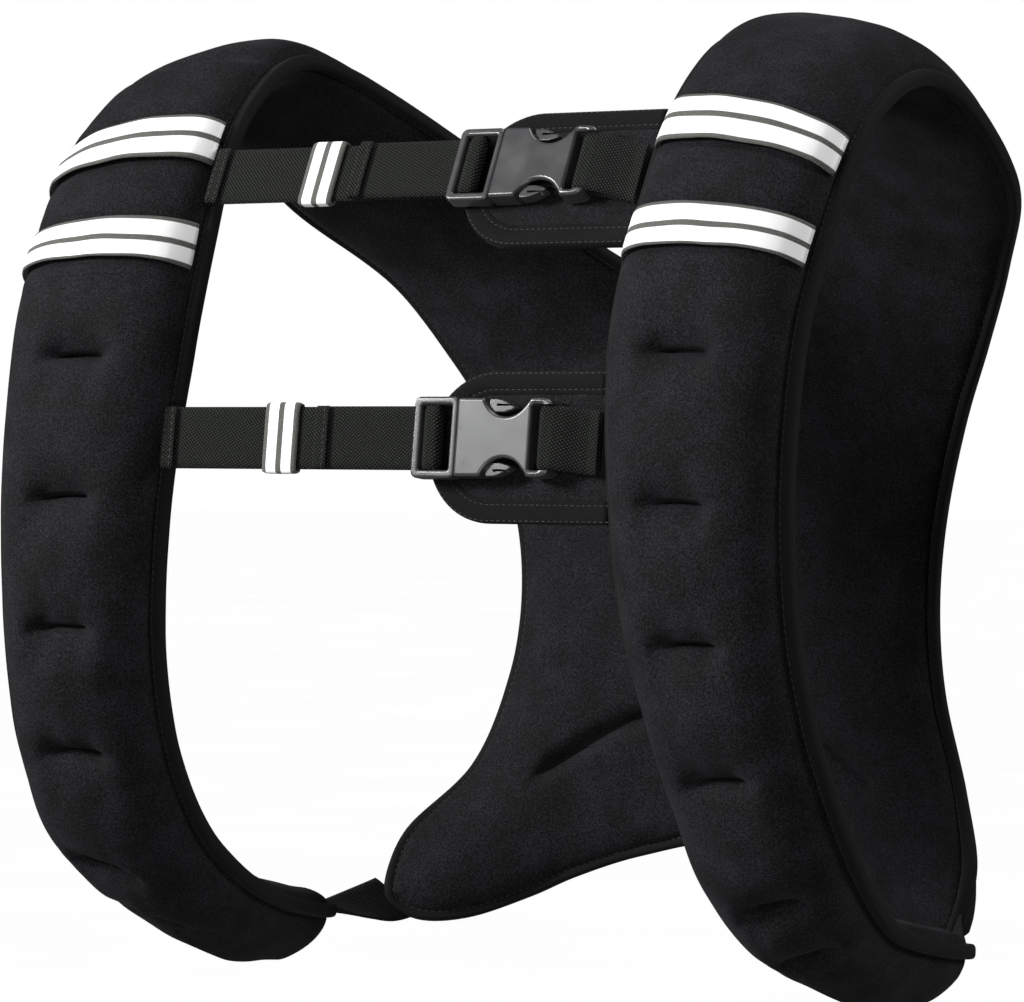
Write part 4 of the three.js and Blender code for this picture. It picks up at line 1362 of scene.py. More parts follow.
@dataclass
class Binding:
    """The tape sewn round the whole outline, with its two lines of stitches."""

    form: Form
    finishes: Finishes
    stitches: StitchTree
    step: float = 2.6 * MM

    def section(self) -> Points:
        """The tape's section: out from the padding, and up from its middle, as shares.

        Returns:
            The closed section's points.
        """
        return np.array([
            (-0.98, 0.70), (-0.97, 0.84), (-0.86, 0.93), (-0.66, 0.965), (-0.52, 0.93), (-0.38, 0.975),
            (0.0, 1.0), (0.4, 0.98), (0.72, 0.88), (0.93, 0.62), (1.0, 0.3), (1.0, -0.3), (0.93, -0.62),
            (0.72, -0.88), (0.4, -0.98), (0.0, -1.0), (-0.38, -0.975), (-0.52, -0.93), (-0.66, -0.965),
            (-0.86, -0.93), (-0.97, -0.84), (-0.98, -0.70),
        ])

    def path(self) -> tuple[Points, Points, Points]:
        """The half outline from the middle of the hem to the middle of the neck: points, in, up.

        Returns:
            The points, the directions in and the directions up.
        """
        sheet = self.form.outline
        runs = ((Edge.HEM, np.linspace(0.0, 1.0, 120)[:-1]),
                (Edge.ARM, np.linspace(LAST, 0.0, 640)[:-1]),
                (Edge.NECK, np.linspace(0.0, NECK, 520)))
        points, inward, up = [], [], []
        for edge, t in runs:
            side = sheet.inward(edge, t)
            normal = unit(np.cross(side, sheet.tangent(edge, t)))
            facing = np.sum(normal * sheet.edge_normal(edge, t), axis=-1, keepdims=True)
            points.append(self.form.edge_sheet.line(edge, t))
            inward.append(side)
            up.append(np.where(facing < 0.0, -normal, normal))
        stack = [np.vstack(part) for part in (points, inward, up)]
        length = distances(stack[0])
        even = np.linspace(0.0, length[-1], int(length[-1] / self.step))

        def read(part: Points) -> Points:
            """A row of vectors at even distances."""
            return np.stack([np.interp(even, length, part[:, k]) for k in range(3)], axis=1)

        line, side, normal = (read(part) for part in stack)
        kernel = np.array([1.0, 2.0, 3.0, 2.0, 1.0]) / 9.0
        for part in (side, normal):
            for k in range(3):
                part[2:-2, k] = np.convolve(part[:, k], kernel, mode="valid")
        for part in (side, normal):
            part[[0, -1], 0] = 0.0
        line[[0, -1], 0] = 0.0
        return line, unit(side), unit(normal)

    def build(self) -> list[bpy.types.Object]:
        """Makes the tape and its stitches.

        Returns:
            The pieces, dressed and settled.
        """
        sizes = self.form.sizes
        line, side, normal = self.path()
        section = self.section()
        wander = 1.0 + 0.03 * ripple(line, 26.0 * MM, 21)
        rings = (line[:, None, :]
                 - side[:, None, :] * section[None, :, 0, None] * (sizes.tape_depth / 2)
                 + normal[:, None, :] * section[None, :, 1, None] * (sizes.tape_thickness / 2)
                 * wander[:, None, None])
        weave = weave_of(rings)
        shell = Shell()
        tube(shell, rings, weave, True)
        other = flipped(rings)
        shell.grid(np.concatenate([other, other[:, :1]], axis=1), weave, turn=True)
        tape = settle(shell.piece("edge_binding", self.finishes.binding), "edge_tape", ["edge_tape"])
        lines = []
        for facing in (1.0, -1.0):
            sewn = (line + side * (0.52 * sizes.tape_depth / 2)
                    + normal * (facing * 0.945 * sizes.tape_thickness / 2))
            lines += [(sewn, normal * facing), (flipped(sewn), flipped(normal) * facing)]
        thread = self.stitches.sew("binding_stitches", lines, self.finishes.thread,
                                   spacing=3.1 * MM, length=2.4 * MM, width=0.5 * MM, height=0.36 * MM)
        return [tape, settle(thread, "edge_tape")]


@dataclass
class Bands:
    """The reflective bands across the tops of the straps."""

    form: Form
    finishes: Finishes
    width: float = 19.0 * MM
    thickness: float = 1.3 * MM
    end_inset: float = 0.9 * MM

    def ribbon(self, section: float) -> tuple[Points, Points]:
        """Rings of a band from its inner end to its outer end.

        Args:
            section: The band's place along the section table.

        Returns:
            The rings and the cloth's directions at their points.
        """
        speed = self.form.speed(section)
        reach = float(self.form.width(np.array(section)))
        share = np.linspace(0.0, 1.0, 90)
        u = self.end_inset / reach + (1.0 - 2.0 * self.end_inset / reach) * share
        profile = np.linspace(-1.0, 1.0, 17)
        t = section + profile * (self.width / 2) / speed
        place, normal = self.form.outer_at(t[None, :], u[:, None])
        ends = np.minimum(1.0, np.minimum(share, 1.0 - share) / 0.08)[:, None]
        lift = (0.5 + 1.0 * (1.0 - profile[None, :]) / 2 * ends + 0.5 * ends) * MM
        wave = 0.25 * MM * ripple(place, 30.0 * MM, 31)
        round_off = np.sqrt(np.clip(1.0 - np.abs(profile) ** 8, 0.0, 1.0))[None, :]
        top = place + normal * (lift + wave + self.thickness * (0.5 + 0.5 * round_off))[..., None]
        bottom = place + normal * (lift + wave + self.thickness * (0.5 - 0.5 * round_off))[..., None]
        rings = np.concatenate([bottom, top[:, ::-1][:, 1:-1]], axis=1)
        across = profile * self.width / 2
        around = np.concatenate([across, across[::-1][1:-1], across[:1]])
        return rings, cloth_grid(share * reach, around)

    def build(self) -> list[bpy.types.Object]:
        """Makes the four bands.

        Returns:
            The pieces, dressed and settled.
        """
        made = []
        for name, section in zip(("upper_band", "lower_band"), self.form.bands):
            rings, weave = self.ribbon(section)
            for side, part in (("left", rings), ("right", flipped(rings))):
                shell = Shell()
                tube(shell, part, weave, False)
                piece = shell.piece(f"{side}_{name}_ribbon", self.finishes.ribbon)
                made.append(settle(piece, "reflective_band", [f"{side}_{name}"]))
        return made


def strap_section(width: float, thickness: float) -> Points:
    """Section of a flat web: across and through, with rounded edges.

    Args:
        width: Width of the web.
        thickness: Its thickness.

    Returns:
        The closed section's points.
    """
    across = np.linspace(-1.0, 1.0, 13)
    shoulder = np.sqrt(np.clip(1.0 - np.abs(across) ** 10, 0.0, 1.0))
    top = np.stack([across * width / 2, (0.42 * shoulder + 0.08) * thickness], axis=1)
    bottom = np.stack([across * width / 2, -(0.42 * shoulder + 0.08) * thickness], axis=1)
    return np.concatenate([bottom, top[::-1]])


def eased(path: Points, step: float, passes: int = 3) -> Points:
    """A path with its corners rounded and its points evened out.

    Args:
        path: The corner points.
        step: Distance between the points that come out.
        passes: How often the corners are cut.

    Returns:
        The smoother path.
    """
    for _ in range(passes):
        cut = [path[:1]]
        for a, b in zip(path[:-1], path[1:]):
            cut.append(np.stack([a * 0.75 + b * 0.25, a * 0.25 + b * 0.75]))
        path = np.vstack([*cut, path[-1:]])
    length = distances(path)
    even = np.linspace(0.0, length[-1], max(4, int(length[-1] / step)))
    return np.stack([np.interp(even, length, path[:, k]) for k in range(path.shape[1])], axis=1)


@dataclass
class BuckleSizes:
    """Sizes of one side-release buckle and the webs it joins, in metres."""

    web_width: float = 25.0 * MM
    web: float = 1.4 * MM
    gap: float = 0.3 * MM
    neck_gap: float = 0.6 * MM
    tab_past: float = 1.2 * MM
    tab: float = 6.4 * MM
    hem: float = 6.2 * MM
    keeper: float = 16.5 * MM
    keeper_wall: float = 1.5 * MM
    frame_length: float = 20.5 * MM
    frame_height: float = 32.0 * MM
    frame_depth: float = 7.0 * MM
    frame_back: float = 0.8 * MM
    outer_bar: float = 3.5 * MM
    inner_wall: float = 3.0 * MM
    cross_bar: float = 2.4 * MM
    cross_inset: float = 9.6 * MM
    socket_length: float = 34.3 * MM
    socket_height: float = 30.8 * MM
    socket_depth: float = 9.0 * MM
    scallop_radius: float = 10.8 * MM
    scallop_depth: float = 7.4 * MM
    scallop_centre: float = 22.5 * MM
    slot: float = 4.7 * MM
    end_bar: float = 5.0 * MM
    end_depth: float = 3.0 * MM
    latch_start: float = 13.6 * MM
    latch_tip: float = 25.5 * MM
    latch_reach: float = 15.2 * MM
    arm_inner: float = 9.8 * MM
    pad_above: float = 27.0 * MM
    pad_below: float = 32.5 * MM
    pad_tape: float = 9.5 * MM
    pad_depth: float = 5.0 * MM
    pad_lead: float = 19.0 * MM
    pad_gap: float = 0.5 * MM
    settle: float = 6.0 * MM


@dataclass
class ChestStrap:
    """One chest strap: webs, keeper, both buckle halves and the pad behind them."""

    name: str
    section: float
    short_reach: float
    keeper_at: float
    tail_at: float
    plastic: bpy.types.Material
    form: Form
    finishes: Finishes
    stitches: StitchTree
    droop: float = 0.0
    sizes: BuckleSizes = field(default_factory=BuckleSizes)

    def __post_init__(self) -> None:
        """Works out the strap's own plane and the depths of its layers."""
        s = self.sizes
        sheet = self.form.edge_sheet
        anchor = sheet.inner(np.array(self.section))
        tangent = sheet.tangent(Edge.NECK, np.array(self.section))
        self.half_gap = float(anchor[0])
        angle = -math.atan2(tangent[1], tangent[2])
        turn = Matrix.Translation(Vector((0.0, float(anchor[1]), float(anchor[2]))))
        self.place = turn @ Matrix.Rotation(angle, 4, "X")
        self.back = np.array(self.place)
        self.base = -(self.form.sizes.tape_thickness / 2 + s.gap + s.web / 2)
        self.tail = self.base - s.web - s.gap
        self.hem = self.tail - s.web - s.gap
        self.turn = s.cross_bar / 2 + s.gap + s.web / 2
        self.bar = self.base - self.turn
        front = self.bar - s.frame_depth / 2 + s.frame_back
        self.plane = front + s.frame_depth / 2
        self.pad_front = self.plane + s.socket_depth / 2 + s.pad_gap
        self.line = self.neck_line(anchor, tangent)
        near = min(self.gap_at(h) for h in (-s.web_width / 2, 0.0, s.web_width / 2))
        self.web_end = near - self.form.sizes.tape_depth / 2 - s.neck_gap
        self.end_bar = self.web_end - self.short_reach * s.web_width
        self.socket = self.end_bar - s.slot - s.socket_length
        self.frame = self.socket - s.gap - s.frame_length

    def neck_line(self, anchor: Points, tangent: Points) -> Points:
        """Height and half gap of the neck edge, in the strap's own plane.

        Args:
            anchor: Where the strap meets the neck edge.
            tangent: The edge's direction there.

        Returns:
            Rows of height and half gap.
        """
        up = unit(np.array([0.0, tangent[1], tangent[2]]))
        places = self.form.edge_sheet.inner(self.section + np.arange(-10, 11) * 0.12)
        return np.stack([(places - anchor) @ up, places[:, 0]], axis=1)

    def gap_at(self, height: float) -> float:
        """Half the gap between the neck edges at a height."""
        return float(np.interp(height, self.line[:, 0], self.line[:, 1]))

    def world(self, points: Points) -> Points:
        """Points of the strap's own plane, in the vest's frame."""
        return points @ self.back[:3, :3].T + self.back[:3, 3]

    def arc(self, x: float, y: float, radius: float, side: float, steps: int = 14) -> Points:
        """A half turn of web, from back to front."""
        angle = np.pi * np.arange(steps + 1) / steps
        return np.stack([x + np.sin(angle) * radius * side, y + np.cos(angle) * radius], axis=1)

    def web(self, name: str, path: Points, nodes: Sequence[str],
            fall: Callable[[Points], Points] | None = None) -> bpy.types.Object:
        """Sweeps the web's section along a path in the strap's plane.

        Args:
            name: The piece's name.
            path: Points of x and depth.
            nodes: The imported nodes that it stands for.
            fall: How much the web drops at an x.

        Returns:
            The web.
        """
        section = strap_section(self.sizes.web_width, self.sizes.web)
        along = np.gradient(path, axis=0)
        along = unit(along)
        side = np.stack([-along[:, 1], along[:, 0]], axis=1)
        rings = np.zeros((len(path), len(section), 3))
        rings[..., 0] = path[:, None, 0] + side[:, None, 0] * section[None, :, 1]
        rings[..., 1] = path[:, None, 1] + side[:, None, 1] * section[None, :, 1]
        rings[..., 2] = section[None, :, 0]
        if fall is not None:
            rings[..., 2] += fall(path[:, 0])[:, None]
        shell = Shell()
        tube(shell, self.world(rings), cloth_grid(distances(path), round_trip(section)), False)
        return settle(shell.piece(name, self.finishes.webbing), "webbing", nodes)

    def long_web(self) -> list[bpy.types.Object]:
        """The adjustable web: sewn tab, run, turn round the cross bar, and tail with its hem.

        Returns:
            The pieces, dressed and settled.
        """
        s = self.sizes
        start = -self.half_gap - s.tab_past
        fold = (self.base - self.tail) / 2
        bar = self.frame + s.cross_inset
        front = self.bar - self.turn
        tail = self.tail_at * self.half_gap
        path = np.vstack([
            [[start + s.tab, self.tail], [start + 2.0 * fold, self.tail]],
            self.arc(start + fold, (self.base + self.tail) / 2, fold, -1.0, 8)[::-1],
            [[start + 3.0 * fold, self.base]],
            [[bar - 1.0 * MM, self.base]],
            self.arc(bar, self.bar, self.turn, 1.0),
            [[self.frame + s.outer_bar + 2.0 * s.web, front],
             [self.frame + s.outer_bar + s.gap, self.tail],
             [self.frame - 2.0 * MM, self.tail]],
            [[tail + 3.0 * fold, self.tail]],
            self.arc(tail + fold, (self.tail + self.hem) / 2, fold, -1.0, 8),
            [[tail + s.hem, self.hem]],
        ])
        web = self.web(f"{self.name}_long_webbing", eased(path, 0.5 * MM, 1), [f"{self.name}_long_web"])
        half = s.web_width / 2 - 1.6 * MM
        heights = np.linspace(-half, half, 30)
        lines = []
        for x, y in ((start + s.tab - 1.5 * MM, self.tail), (start + 1.6 * MM, self.tail),
                     (tail + s.hem - 1.6 * MM, self.hem)):
            depth = y - s.web * 0.5
            points = np.stack([np.full(30, x), np.full(30, depth), heights], axis=1)
            up = np.tile(self.back[:3, :3] @ np.array([0.0, -1.0, 0.0]), (30, 1))
            lines.append((self.world(points), up))
        thread = self.stitches.sew(f"{self.name}_web_stitches", lines, self.finishes.thread,
                                   spacing=2.6 * MM, length=2.0 * MM, width=0.6 * MM, height=0.4 * MM)
        return [web, settle(thread, "webbing")]

    def short_web(self) -> bpy.types.Object:
        """The fixed web: both layers from the edge tape, round the socket's end bar.

        Returns:
            The web.
        """
        s = self.sizes
        radius = s.end_depth / 2 + s.gap + s.web / 2
        back = self.pad_front - s.gap - s.web / 2
        front = back - s.web - s.gap
        past = self.end_bar + s.end_bar + s.gap
        settled = self.web_end - s.settle
        path = np.vstack([
            [[self.web_end, back], [settled, back], [past, self.plane + radius]],
            self.arc(self.end_bar + s.gap, self.plane, radius, -1.0),
            [[past + s.gap, self.plane - radius], [settled, front], [self.web_end, front]],
        ])

        def fall(x: Points) -> Points:
            """How much the web drops on its way to the tape."""
            share = np.clip((x - past) / (self.web_end - past), 0.0, 1.0)
            return -self.droop * share**1.3

        return self.web(f"{self.name}_short_webbing", eased(path, 0.5 * MM, 1),
                        [f"{self.name}_short_web"], fall)

    def keeper(self) -> bpy.types.Object:
        """The elastic loop round the web.

        Returns:
            The loop.
        """
        s = self.sizes
        half_z = s.web_width / 2 + s.gap + s.keeper_wall / 2
        half_y = s.web / 2 + s.gap + s.keeper_wall / 2
        angle = np.linspace(0.0, 2.0 * np.pi, 97)[:-1]
        power = 0.32
        loop = np.stack([np.sign(np.sin(angle)) * np.abs(np.sin(angle)) ** power * half_y,
                         np.sign(np.cos(angle)) * np.abs(np.cos(angle)) ** power * half_z], axis=1)
        loop = np.stack([np.interp(np.linspace(0, 1, 160, endpoint=False),
                                   np.linspace(0, 1, 97), np.append(loop[:, k], loop[0, k]))
                         for k in range(2)], axis=1)
        ahead, behind = np.roll(loop, -1, axis=0), np.roll(loop, 1, axis=0)
        along = unit(ahead - behind)
        normal = np.stack([along[:, 1], -along[:, 0]], axis=1)
        outward = np.sum(normal * loop, axis=1, keepdims=True)
        normal = np.where(outward < 0.0, -normal, normal)
        across = np.linspace(-1.0, 1.0, 13)
        shoulder = np.sqrt(np.clip(1.0 - np.abs(across) ** 6, 0.0, 1.0)) * 0.42 + 0.08
        section = np.concatenate([
            np.stack([across * s.keeper / 2, shoulder * s.keeper_wall], axis=1),
            np.stack([across[::-1] * s.keeper / 2, -shoulder[::-1] * s.keeper_wall], axis=1),
        ])
        centre = self.keeper_at * self.half_gap
        rings = np.zeros((len(loop), len(section), 3))
        rings[..., 0] = centre + section[None, :, 0]
        rings[..., 1] = self.base + loop[:, None, 0] + normal[:, None, 0] * section[None, :, 1]
        rings[..., 2] = loop[:, None, 1] + normal[:, None, 1] * section[None, :, 1]
        rings = np.concatenate([rings, rings[:1]], axis=0)
        weave = cloth_grid(distances(rings.mean(axis=1)), round_trip(section))
        shell = Shell()
        closed = np.concatenate([rings, rings[:, :1]], axis=1)
        shell.grid(self.world(closed), weave)
        return settle(shell.piece(f"{self.name}_keeper_loop", self.finishes.keeper), "elastic",
                      [f"{self.name}_keeper"])

    def plate(self, name: str, outlines: Sequence[Points], middle: float, depth: float,
              bevel: float) -> bpy.types.Object:
        """A rounded plate from flat outlines, the first outside and the rest holes.

        Args:
            name: The piece's name.
            outlines: Closed loops of x and z, in the strap's plane.
            middle: Depth of the plate's middle plane.
            depth: Its whole thickness.
            bevel: Radius of its edges.

        Returns:
            A mesh object.
        """
        curve = bpy.data.curves.new(name, "CURVE")
        curve.dimensions = "2D"
        curve.fill_mode = "BOTH"
        curve.extrude = depth / 2 - bevel
        curve.bevel_depth = bevel
        curve.bevel_resolution = 3
        curve.offset = -bevel
        for outline in outlines:
            spline = curve.splines.new("POLY")
            spline.points.add(len(outline) - 1)
            for point, (x, z) in zip(spline.points, outline):
                point.co = (x, z, 0.0, 1.0)
            spline.use_cyclic_u = True
        source = bpy.data.objects.new(name, curve)
        bpy.context.scene.collection.objects.link(source)
        view = bpy.context.evaluated_depsgraph_get()
        mesh = bpy.data.meshes.new_from_object(source.evaluated_get(view), depsgraph=view)
        bpy.data.objects.remove(source)
        stand = Matrix.Translation(Vector((0.0, middle, 0.0))) @ Matrix.Rotation(math.pi / 2, 4, "X")
        mesh.transform(stand)
        work = bmesh.new()
        work.from_mesh(mesh)
        bmesh.ops.remove_doubles(work, verts=work.verts, dist=1e-6)
        bmesh.ops.recalc_face_normals(work, faces=work.faces)
        work.to_mesh(mesh)
        work.free()
        return add_object(name, mesh)

    @staticmethod
    def rounded(x0: float, x1: float, z0: float, z1: float, radius: float) -> Points:
        """A rectangle with round corners.

        Args:
            x0: Left.
            x1: Right.
            z0: Bottom.
            z1: Top.
            radius: Of the corners.

        Returns:
            A closed loop of x and z.
        """
        corners = ((x1 - radius, z0 + radius, -90.0), (x1 - radius, z1 - radius, 0.0),
                   (x0 + radius, z1 - radius, 90.0), (x0 + radius, z0 + radius, 180.0))
        loop = []
        for cx, cz, start in corners:
            for step in range(7):
                angle = math.radians(start + 15.0 * step)
                loop.append((cx + radius * math.cos(angle), cz + radius * math.sin(angle)))
        return np.array(loop)

    def combine(self, name: str, parts: Sequence[bpy.types.Object], cuts: Sequence[bpy.types.Object],
                nodes: Sequence[str]) -> bpy.types.Object:
        """Joins parts into one body, takes the cuts out and dresses it.

        Args:
            name: The piece's name.
            parts: Blocks to join, the first the body.
            cuts: Blocks to take out.
            nodes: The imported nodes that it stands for.

        Returns:
            The piece.
        """
        body = parts[0]
        for other, operation in [(p, "UNION") for p in parts[1:]] + [(c, "DIFFERENCE") for c in cuts]:
            modifier = body.modifiers.new("shape", "BOOLEAN")
            modifier.operation = operation
            modifier.solver = "EXACT"
            modifier.object = other
        view = bpy.context.evaluated_depsgraph_get()
        mesh = bpy.data.meshes.new_from_object(body.evaluated_get(view), depsgraph=view)
        for part in [*parts, *cuts]:
            bpy.data.objects.remove(part)
        mesh.transform(self.place)
        mesh.materials.clear()
        mesh.materials.append(self.plastic)
        work = bmesh.new()
        work.from_mesh(mesh)
        bmesh.ops.dissolve_limit(work, angle_limit=math.radians(0.5), verts=work.verts,
                                 edges=work.edges)
        work.to_mesh(mesh)
        work.free()
        mesh.shade_smooth()
        mesh.set_sharp_from_angle(angle=math.radians(38.0))
        draft = add_object(name, mesh)
        flatter = draft.modifiers.new("flat faces", "WEIGHTED_NORMAL")
        flatter.weight = 100
        flatter.keep_sharp = True
        view = bpy.context.evaluated_depsgraph_get()
        mesh = bpy.data.meshes.new_from_object(draft.evaluated_get(view), depsgraph=view)
        bpy.data.objects.remove(draft)
        return settle(add_object(name, mesh), "buckle_plastic", nodes)

    def box(self, x: tuple[float, float], y: tuple[float, float], z: tuple[float, float],
            bevel: float = 0.0) -> bpy.types.Object:
        """A block between two corners, with rounded edges if asked.

        Args:
            x: From left to right.
            y: From front to back.
            z: From bottom to top.
            bevel: Radius of the edges.

        Returns:
            The block.
        """
        mesh = bpy.data.meshes.new("block")
        work = bmesh.new()
        bmesh.ops.create_cube(work, size=1.0)
        size = Matrix.Diagonal((x[1] - x[0], y[1] - y[0], z[1] - z[0], 1.0))
        middle = Matrix.Translation(((x[0] + x[1]) / 2, (y[0] + y[1]) / 2, (z[0] + z[1]) / 2))
        bmesh.ops.transform(work, matrix=middle @ size, verts=work.verts)
        if bevel:
            bmesh.ops.bevel(work, geom=work.edges, offset=bevel, segments=3, affect="EDGES",
                            profile=0.5)
        work.to_mesh(mesh)
        work.free()
        return add_object("block", mesh)

    def buckle_frame(self) -> bpy.types.Object:
        """The half with the cross bar and the two latching arms.

        Returns:
            The piece.
        """
        s = self.sizes
        left, right = self.frame, self.frame + s.frame_length
        half, slot = s.frame_height / 2, s.web_width / 2 + s.gap
        ring = self.plate("ring", [self.rounded(left, right, -half, half, 2.8 * MM),
                                   self.rounded(left + s.outer_bar, right - s.inner_wall,
                                                -slot, slot, 0.6 * MM)[::-1]],
                          self.plane, s.frame_depth, 1.1 * MM)
        behind = self.tail - s.web / 2 - s.gap
        room = self.box((left - MM, left + s.outer_bar + MM),
                        (behind, self.plane + s.frame_depth), (-slot, slot))
        bar_x = left + s.cross_inset
        bar_half = s.cross_bar / 2
        bar = self.box((bar_x - bar_half, bar_x + bar_half), (self.bar - bar_half, self.bar + bar_half),
                       (-half + MM, half - MM), 0.75 * MM)
        arms = []
        socket = self.socket
        outer = s.socket_height / 2 - 2.5 * MM
        for side in (1.0, -1.0):
            start, tip, reach = socket + s.latch_start, socket + s.latch_tip, s.latch_reach
            arm = np.array([
                (right - MM, s.arm_inner), (tip - 5.0 * MM, s.arm_inner), (tip - 1.2 * MM, s.arm_inner + MM),
                (tip, s.arm_inner + 1.9 * MM), (tip - 1.0 * MM, s.arm_inner + 2.4 * MM),
                (tip - 3.4 * MM, reach - 1.6 * MM), (start + 5.5 * MM, reach - 0.4 * MM),
                (start + 3.0 * MM, reach), (start + 0.6 * MM, reach), (start, reach - 0.6 * MM),
                (start, outer), (right - MM, outer),
            ]) * np.array([1.0, side])
            arms.append(self.plate("arm", [arm if side > 0 else arm[::-1]], self.plane,
                                   5.0 * MM, 0.5 * MM))
        slits = []
        for side in (1.0, -1.0):
            x0, z0 = socket + s.latch_start + 3.2 * MM, s.arm_inner + 2.6 * MM
            slit = np.array([(x0, z0), (x0 + 2.5 * MM, z0 - 0.15 * MM), (x0 + 7.0 * MM, z0 + 0.1 * MM),
                             (x0 + 7.0 * MM, z0 + 0.8 * MM), (x0 + 2.8 * MM, z0 + 0.75 * MM),
                             (x0 + 0.6 * MM, z0 + 1.0 * MM)]) * np.array([1.0, side])
            slits.append(self.plate("slit", [slit if side > 0 else slit[::-1]], self.plane - 1.4 * MM,
                                    3.0 * MM, 0.05 * MM))
        return self.combine(f"{self.name}_buckle_frame_moulding", [ring, bar, *arms], [room, *slits],
                            [f"{self.name}_buckle_frame"])

    def buckle_socket(self) -> bpy.types.Object:
        """The hollow half with its scallops, slot and end bar.

        Returns:
            The piece.
        """
        s = self.sizes
        left, half = self.socket, s.socket_height / 2
        loop_left = left + s.socket_length
        right = loop_left + s.slot + s.end_bar
        centre = left + s.scallop_centre
        arc_z = half - s.scallop_depth + s.scallop_radius
        start = math.asin((half - arc_z) / s.scallop_radius)
        steps = 26
        top = [(centre + s.scallop_radius * math.cos(a), arc_z + s.scallop_radius * math.sin(a))
               for a in np.linspace(start, -math.pi - start, steps)]
        waist = []
        for k, (x, z) in enumerate(top):
            share = k / (steps - 1)
            ease = 0.9 * MM * math.exp(-((share / 0.09) ** 2))
            ease_left = 0.5 * MM * math.exp(-(((1.0 - share) / 0.07) ** 2))
            waist.append((x + ease * 0.6 - ease_left * 0.4, z - ease * 0.25 - ease_left * 0.2))
        upper = ([(right - 0.4 * MM, half - 2.6 * MM), (right - 1.4 * MM, half - 1.1 * MM),
                  (right - 3.2 * MM, half - 0.35 * MM), (right - 6.0 * MM, half + 0.05 * MM),
                  (waist[0][0] + 1.6 * MM, half + 0.05 * MM)] + waist
                 + [(left + 1.0 * MM, half), (left + 0.25 * MM, half - 0.3 * MM), (left, half - 1.0 * MM)])
        outline = np.array(upper + [(x, -z) for x, z in reversed(upper)])
        slot_half = s.web_width / 2 + s.gap
        slot = self.rounded(loop_left, loop_left + s.slot, -slot_half, slot_half, 0.8 * MM)
        body = self.plate("body", [outline, slot[::-1]], self.plane, s.socket_depth, 1.3 * MM)
        pocket_half = half - 2.2 * MM
        pocket = self.box((left - MM, left + 30.0 * MM), (self.plane - 2.8 * MM, self.plane + 2.8 * MM),
                          (-pocket_half, pocket_half), 0.4 * MM)
        bar_x = (loop_left + s.slot - s.gap, right + MM)
        cuts = [pocket]
        for y in ((self.plane - s.socket_depth, self.plane - s.end_depth / 2),
                  (self.plane + s.end_depth / 2, self.plane + s.socket_depth)):
            cuts.append(self.box(bar_x, y, (-slot_half, slot_half)))
        return self.combine(f"{self.name}_buckle_socket_moulding", [body], cuts,
                            [f"{self.name}_buckle_socket"])

    def pad_outline(self, inset: float, count: int = 60) -> tuple[Points, Points]:
        """The pad's outline from its upper end round the left to its lower end, and the ends.

        Args:
            inset: How far the outline is drawn in.
            count: Steps round the rounded end.

        Returns:
            The outline and the line at the padding.
        """
        s = self.sizes
        low, high = -s.pad_below + inset, s.pad_above - inset
        radius, middle = (high - low) / 2, (high + low) / 2
        left = self.socket - s.pad_lead + inset
        clear = self.form.sizes.tape_depth / 2 + s.neck_gap
        angle = np.pi / 2 + np.pi * np.arange(count + 1) / count
        turn = np.stack([left + radius * (1.0 + np.cos(angle)), middle + radius * np.sin(angle)], axis=1)
        top = np.linspace(self.gap_at(high) - clear, turn[0, 0], 30)[:-1]
        bottom = np.linspace(turn[-1, 0], self.gap_at(low) - clear, 30)[1:]
        path = np.vstack([np.stack([top, np.full(29, high)], axis=1), turn,
                          np.stack([bottom, np.full(29, low)], axis=1)])
        heights = np.linspace(low, high, 24)
        seam = np.stack([[self.gap_at(h) - clear for h in heights], heights], axis=1)
        return path, seam

    def pad(self) -> list[bpy.types.Object]:
        """The pad behind the buckle: soft core, woven tape round it and its stitches.

        Returns:
            The pieces, dressed and settled.
        """
        s = self.sizes
        path, seam = self.pad_outline(s.pad_tape - 0.6 * MM)
        outline = np.vstack([path, seam[1:-1]])
        centre = outline.mean(axis=0)
        middle = self.pad_front + s.pad_depth / 2
        shares = np.concatenate([np.linspace(1.0, 0.8, 10), np.linspace(0.8, 0.0, 16)[1:]])
        shell = Shell()
        for side in (-1.0, 1.0):
            swell = np.sqrt(np.clip(1.0 - ((shares - 0.6) / 0.4).clip(0.0, 1.0) ** 2.2, 0.0, 1.0))
            depth = s.pad_depth / 2 - 0.9 * MM + (0.9 + (0.0 if side < 0 else 0.8)) * MM * swell
            rings = np.zeros((len(shares), len(outline), 3))
            flat = centre[None, None, :] + (outline - centre)[None, :, :] * shares[:, None, None]
            rings[..., 0], rings[..., 2] = flat[..., 0], flat[..., 1]
            rings[..., 1] = middle + side * depth[:, None]
            closed = np.concatenate([rings, rings[:, :1]], axis=1)
            closed[..., 1] += side * 0.25 * MM * ripple(closed, 18.0 * MM, 41) * swell[:, None]
            shell.grid(self.world(closed), turn=side > 0)
            if side < 0:
                front = closed[0]
            else:
                shell.grid(self.world(np.stack([closed[0], front], axis=0)), turn=True)
        core = settle(shell.piece(f"{self.name}_pad_cushion", self.finishes.cloth), "padding",
                      [f"{self.name}_pad"])
        outer, _ = self.pad_outline(0.0)
        inner, _ = self.pad_outline(s.pad_tape)
        profile = np.array([
            (0.0, 0.0), (0.01, 0.55), (0.05, 0.86), (0.12, 0.98), (0.3, 1.0), (0.62, 0.97), (0.72, 0.88),
            (0.76, 0.8), (0.8, 0.86), (0.93, 0.84), (0.985, 0.7), (1.0, 0.4),
        ])
        profile = np.vstack([profile, profile[::-1] * np.array([1.0, -1.0])])[:-1]
        rings = np.zeros((len(outer), len(profile), 3))
        flat = outer[:, None, :] + (inner - outer)[:, None, :] * profile[None, :, 0, None]
        rings[..., 0], rings[..., 2] = flat[..., 0], flat[..., 1]
